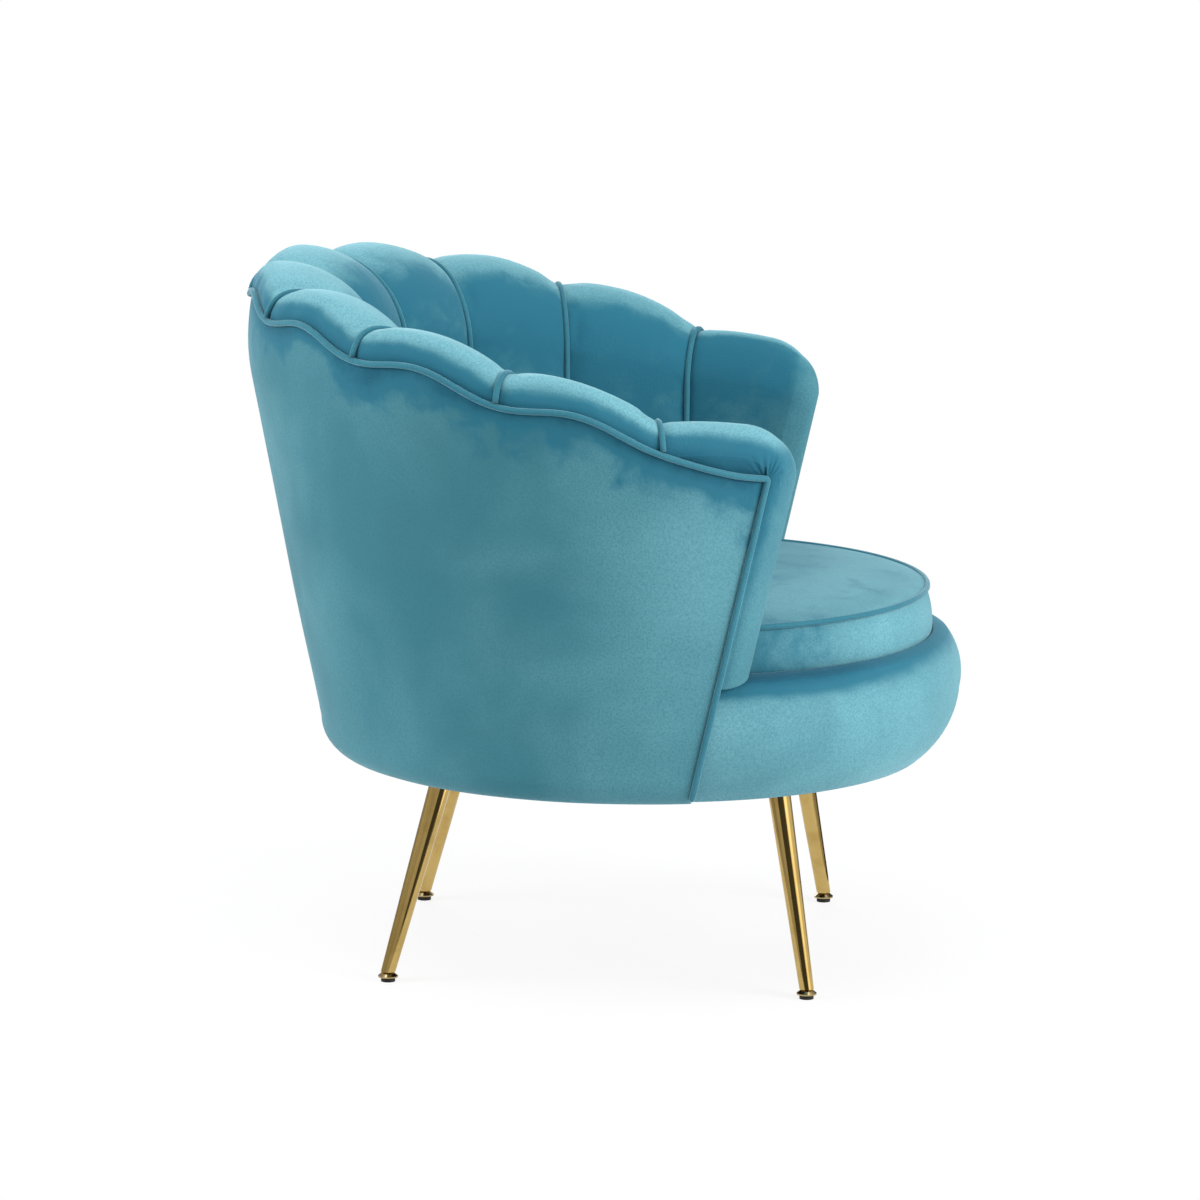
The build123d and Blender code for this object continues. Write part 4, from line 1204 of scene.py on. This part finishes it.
# Lamps
def lamp(name, place, target, size, watts):
    data = bpy.data.lights.new(name, "AREA")
    data.shape = "RECTANGLE"
    data.size, data.size_y = size
    data.energy = watts
    obj = bpy.data.objects.new(name, data)
    obj.location = place
    obj.rotation_euler = (Vector(target) - Vector(place)).to_track_quat("-Z", "Y").to_euler()
    scene.collection.objects.link(obj)


lamp("key", (-1.5, -2.8, 1.7), (0.0, -0.1, 0.4), (1.8, 1.8), 98.0)
lamp("rim", (-0.9, 2.7, 1.5), (0.0, 0.1, 0.45), (1.4, 2.0), 58.0)
lamp("fill", (2.7, 0.5, 1.7), (0.0, 0.0, 0.4), (1.8, 1.8), 42.0)
lamp("top", (-0.6, 0.2, 3.0), (0.0, 0.0, 0.4), (2.4, 2.4), 40.0)

# Studio cards that only show as streaks in the polished legs: from, to in degrees round the camera side
def card_tone(name, strength):
    """Uneven glow of a card."""
    mat, tree, bsdf = shader(name)
    cloud = spread(tree, noise(tree, 2.5, 2.0), 0.3, 0.7, 0.7 * strength, 1.3 * strength)
    bsdf.inputs["Base Color"].default_value = (0.0, 0.0, 0.0, 1.0)
    bsdf.inputs["Emission Color"].default_value = (1.0, 0.97, 0.90, 1.0)
    tree.links.new(cloud, bsdf.inputs["Emission Strength"])
    return mat


DARK_CARD = card_tone("dark_card", 0.02)
GREY_CARD = card_tone("grey_card", 0.42)
BRIGHT_CARD = card_tone("bright_card", 1.7)
CARDS = ((-3.0, 40.0, DARK_CARD), (44.0, 66.0, BRIGHT_CARD), (96.0, 125.0, GREY_CARD),
         (125.0, 170.0, DARK_CARD), (-85.0, -3.0, GREY_CARD), (-128.0, -85.0, GREY_CARD),
         (-165.0, -128.0, DARK_CARD))
CARD_SECTION = ((440.0, 1.5), (760.0, 1.5), (760.0, 900.0))
CARD_STEPS = 8
for k, (first, last, tone) in enumerate(CARDS):
    turns = np.radians(np.linspace(first, last, CARD_STEPS + 1))
    points = [(-r * math.cos(t), -r * math.sin(t), z) for t in turns for r, z in CARD_SECTION]
    corners = [3 * n + m for n in range(CARD_STEPS) for m in (0, 1)]
    card = make_object(f"studio_card_{k}", points, [(c, c + 3, c + 4, c + 1) for c in corners])
    card.data.materials.append(tone)
    card.visible_camera = False
    card.visible_diffuse = False
    card.visible_shadow = False
    card.visible_transmission = False

# Camera of the photo: turn, dip and tilt in degrees, place in metres
CAMERA_ANGLES = (4.14, 10.42, 0.33)
CAMERA_PLACE = (-6.567, -0.471, 1.576)
yaw, pitch, roll = (math.radians(v) for v in CAMERA_ANGLES)
look = Vector((math.cos(pitch) * math.cos(yaw), math.cos(pitch) * math.sin(yaw), -math.sin(pitch)))
right = Vector((math.sin(yaw), -math.cos(yaw), 0.0))
up = right.cross(look)
across = math.cos(roll) * right + math.sin(roll) * up
above = -math.sin(roll) * right + math.cos(roll) * up
camera_data = bpy.data.cameras.new("camera")
camera_data.lens = 193.83
camera_data.sensor_width = 36.0
camera_data.clip_end = 100.0
camera = bpy.data.objects.new("camera", camera_data)
camera.matrix_world = Matrix((
    (across.x, above.x, -look.x, CAMERA_PLACE[0]),
    (across.y, above.y, -look.y, CAMERA_PLACE[1]),
    (across.z, above.z, -look.z, CAMERA_PLACE[2]),
    (0.0, 0.0, 0.0, 1.0),
))
scene.collection.objects.link(camera)
scene.camera = camera
scene.view_settings.view_transform = "Standard"
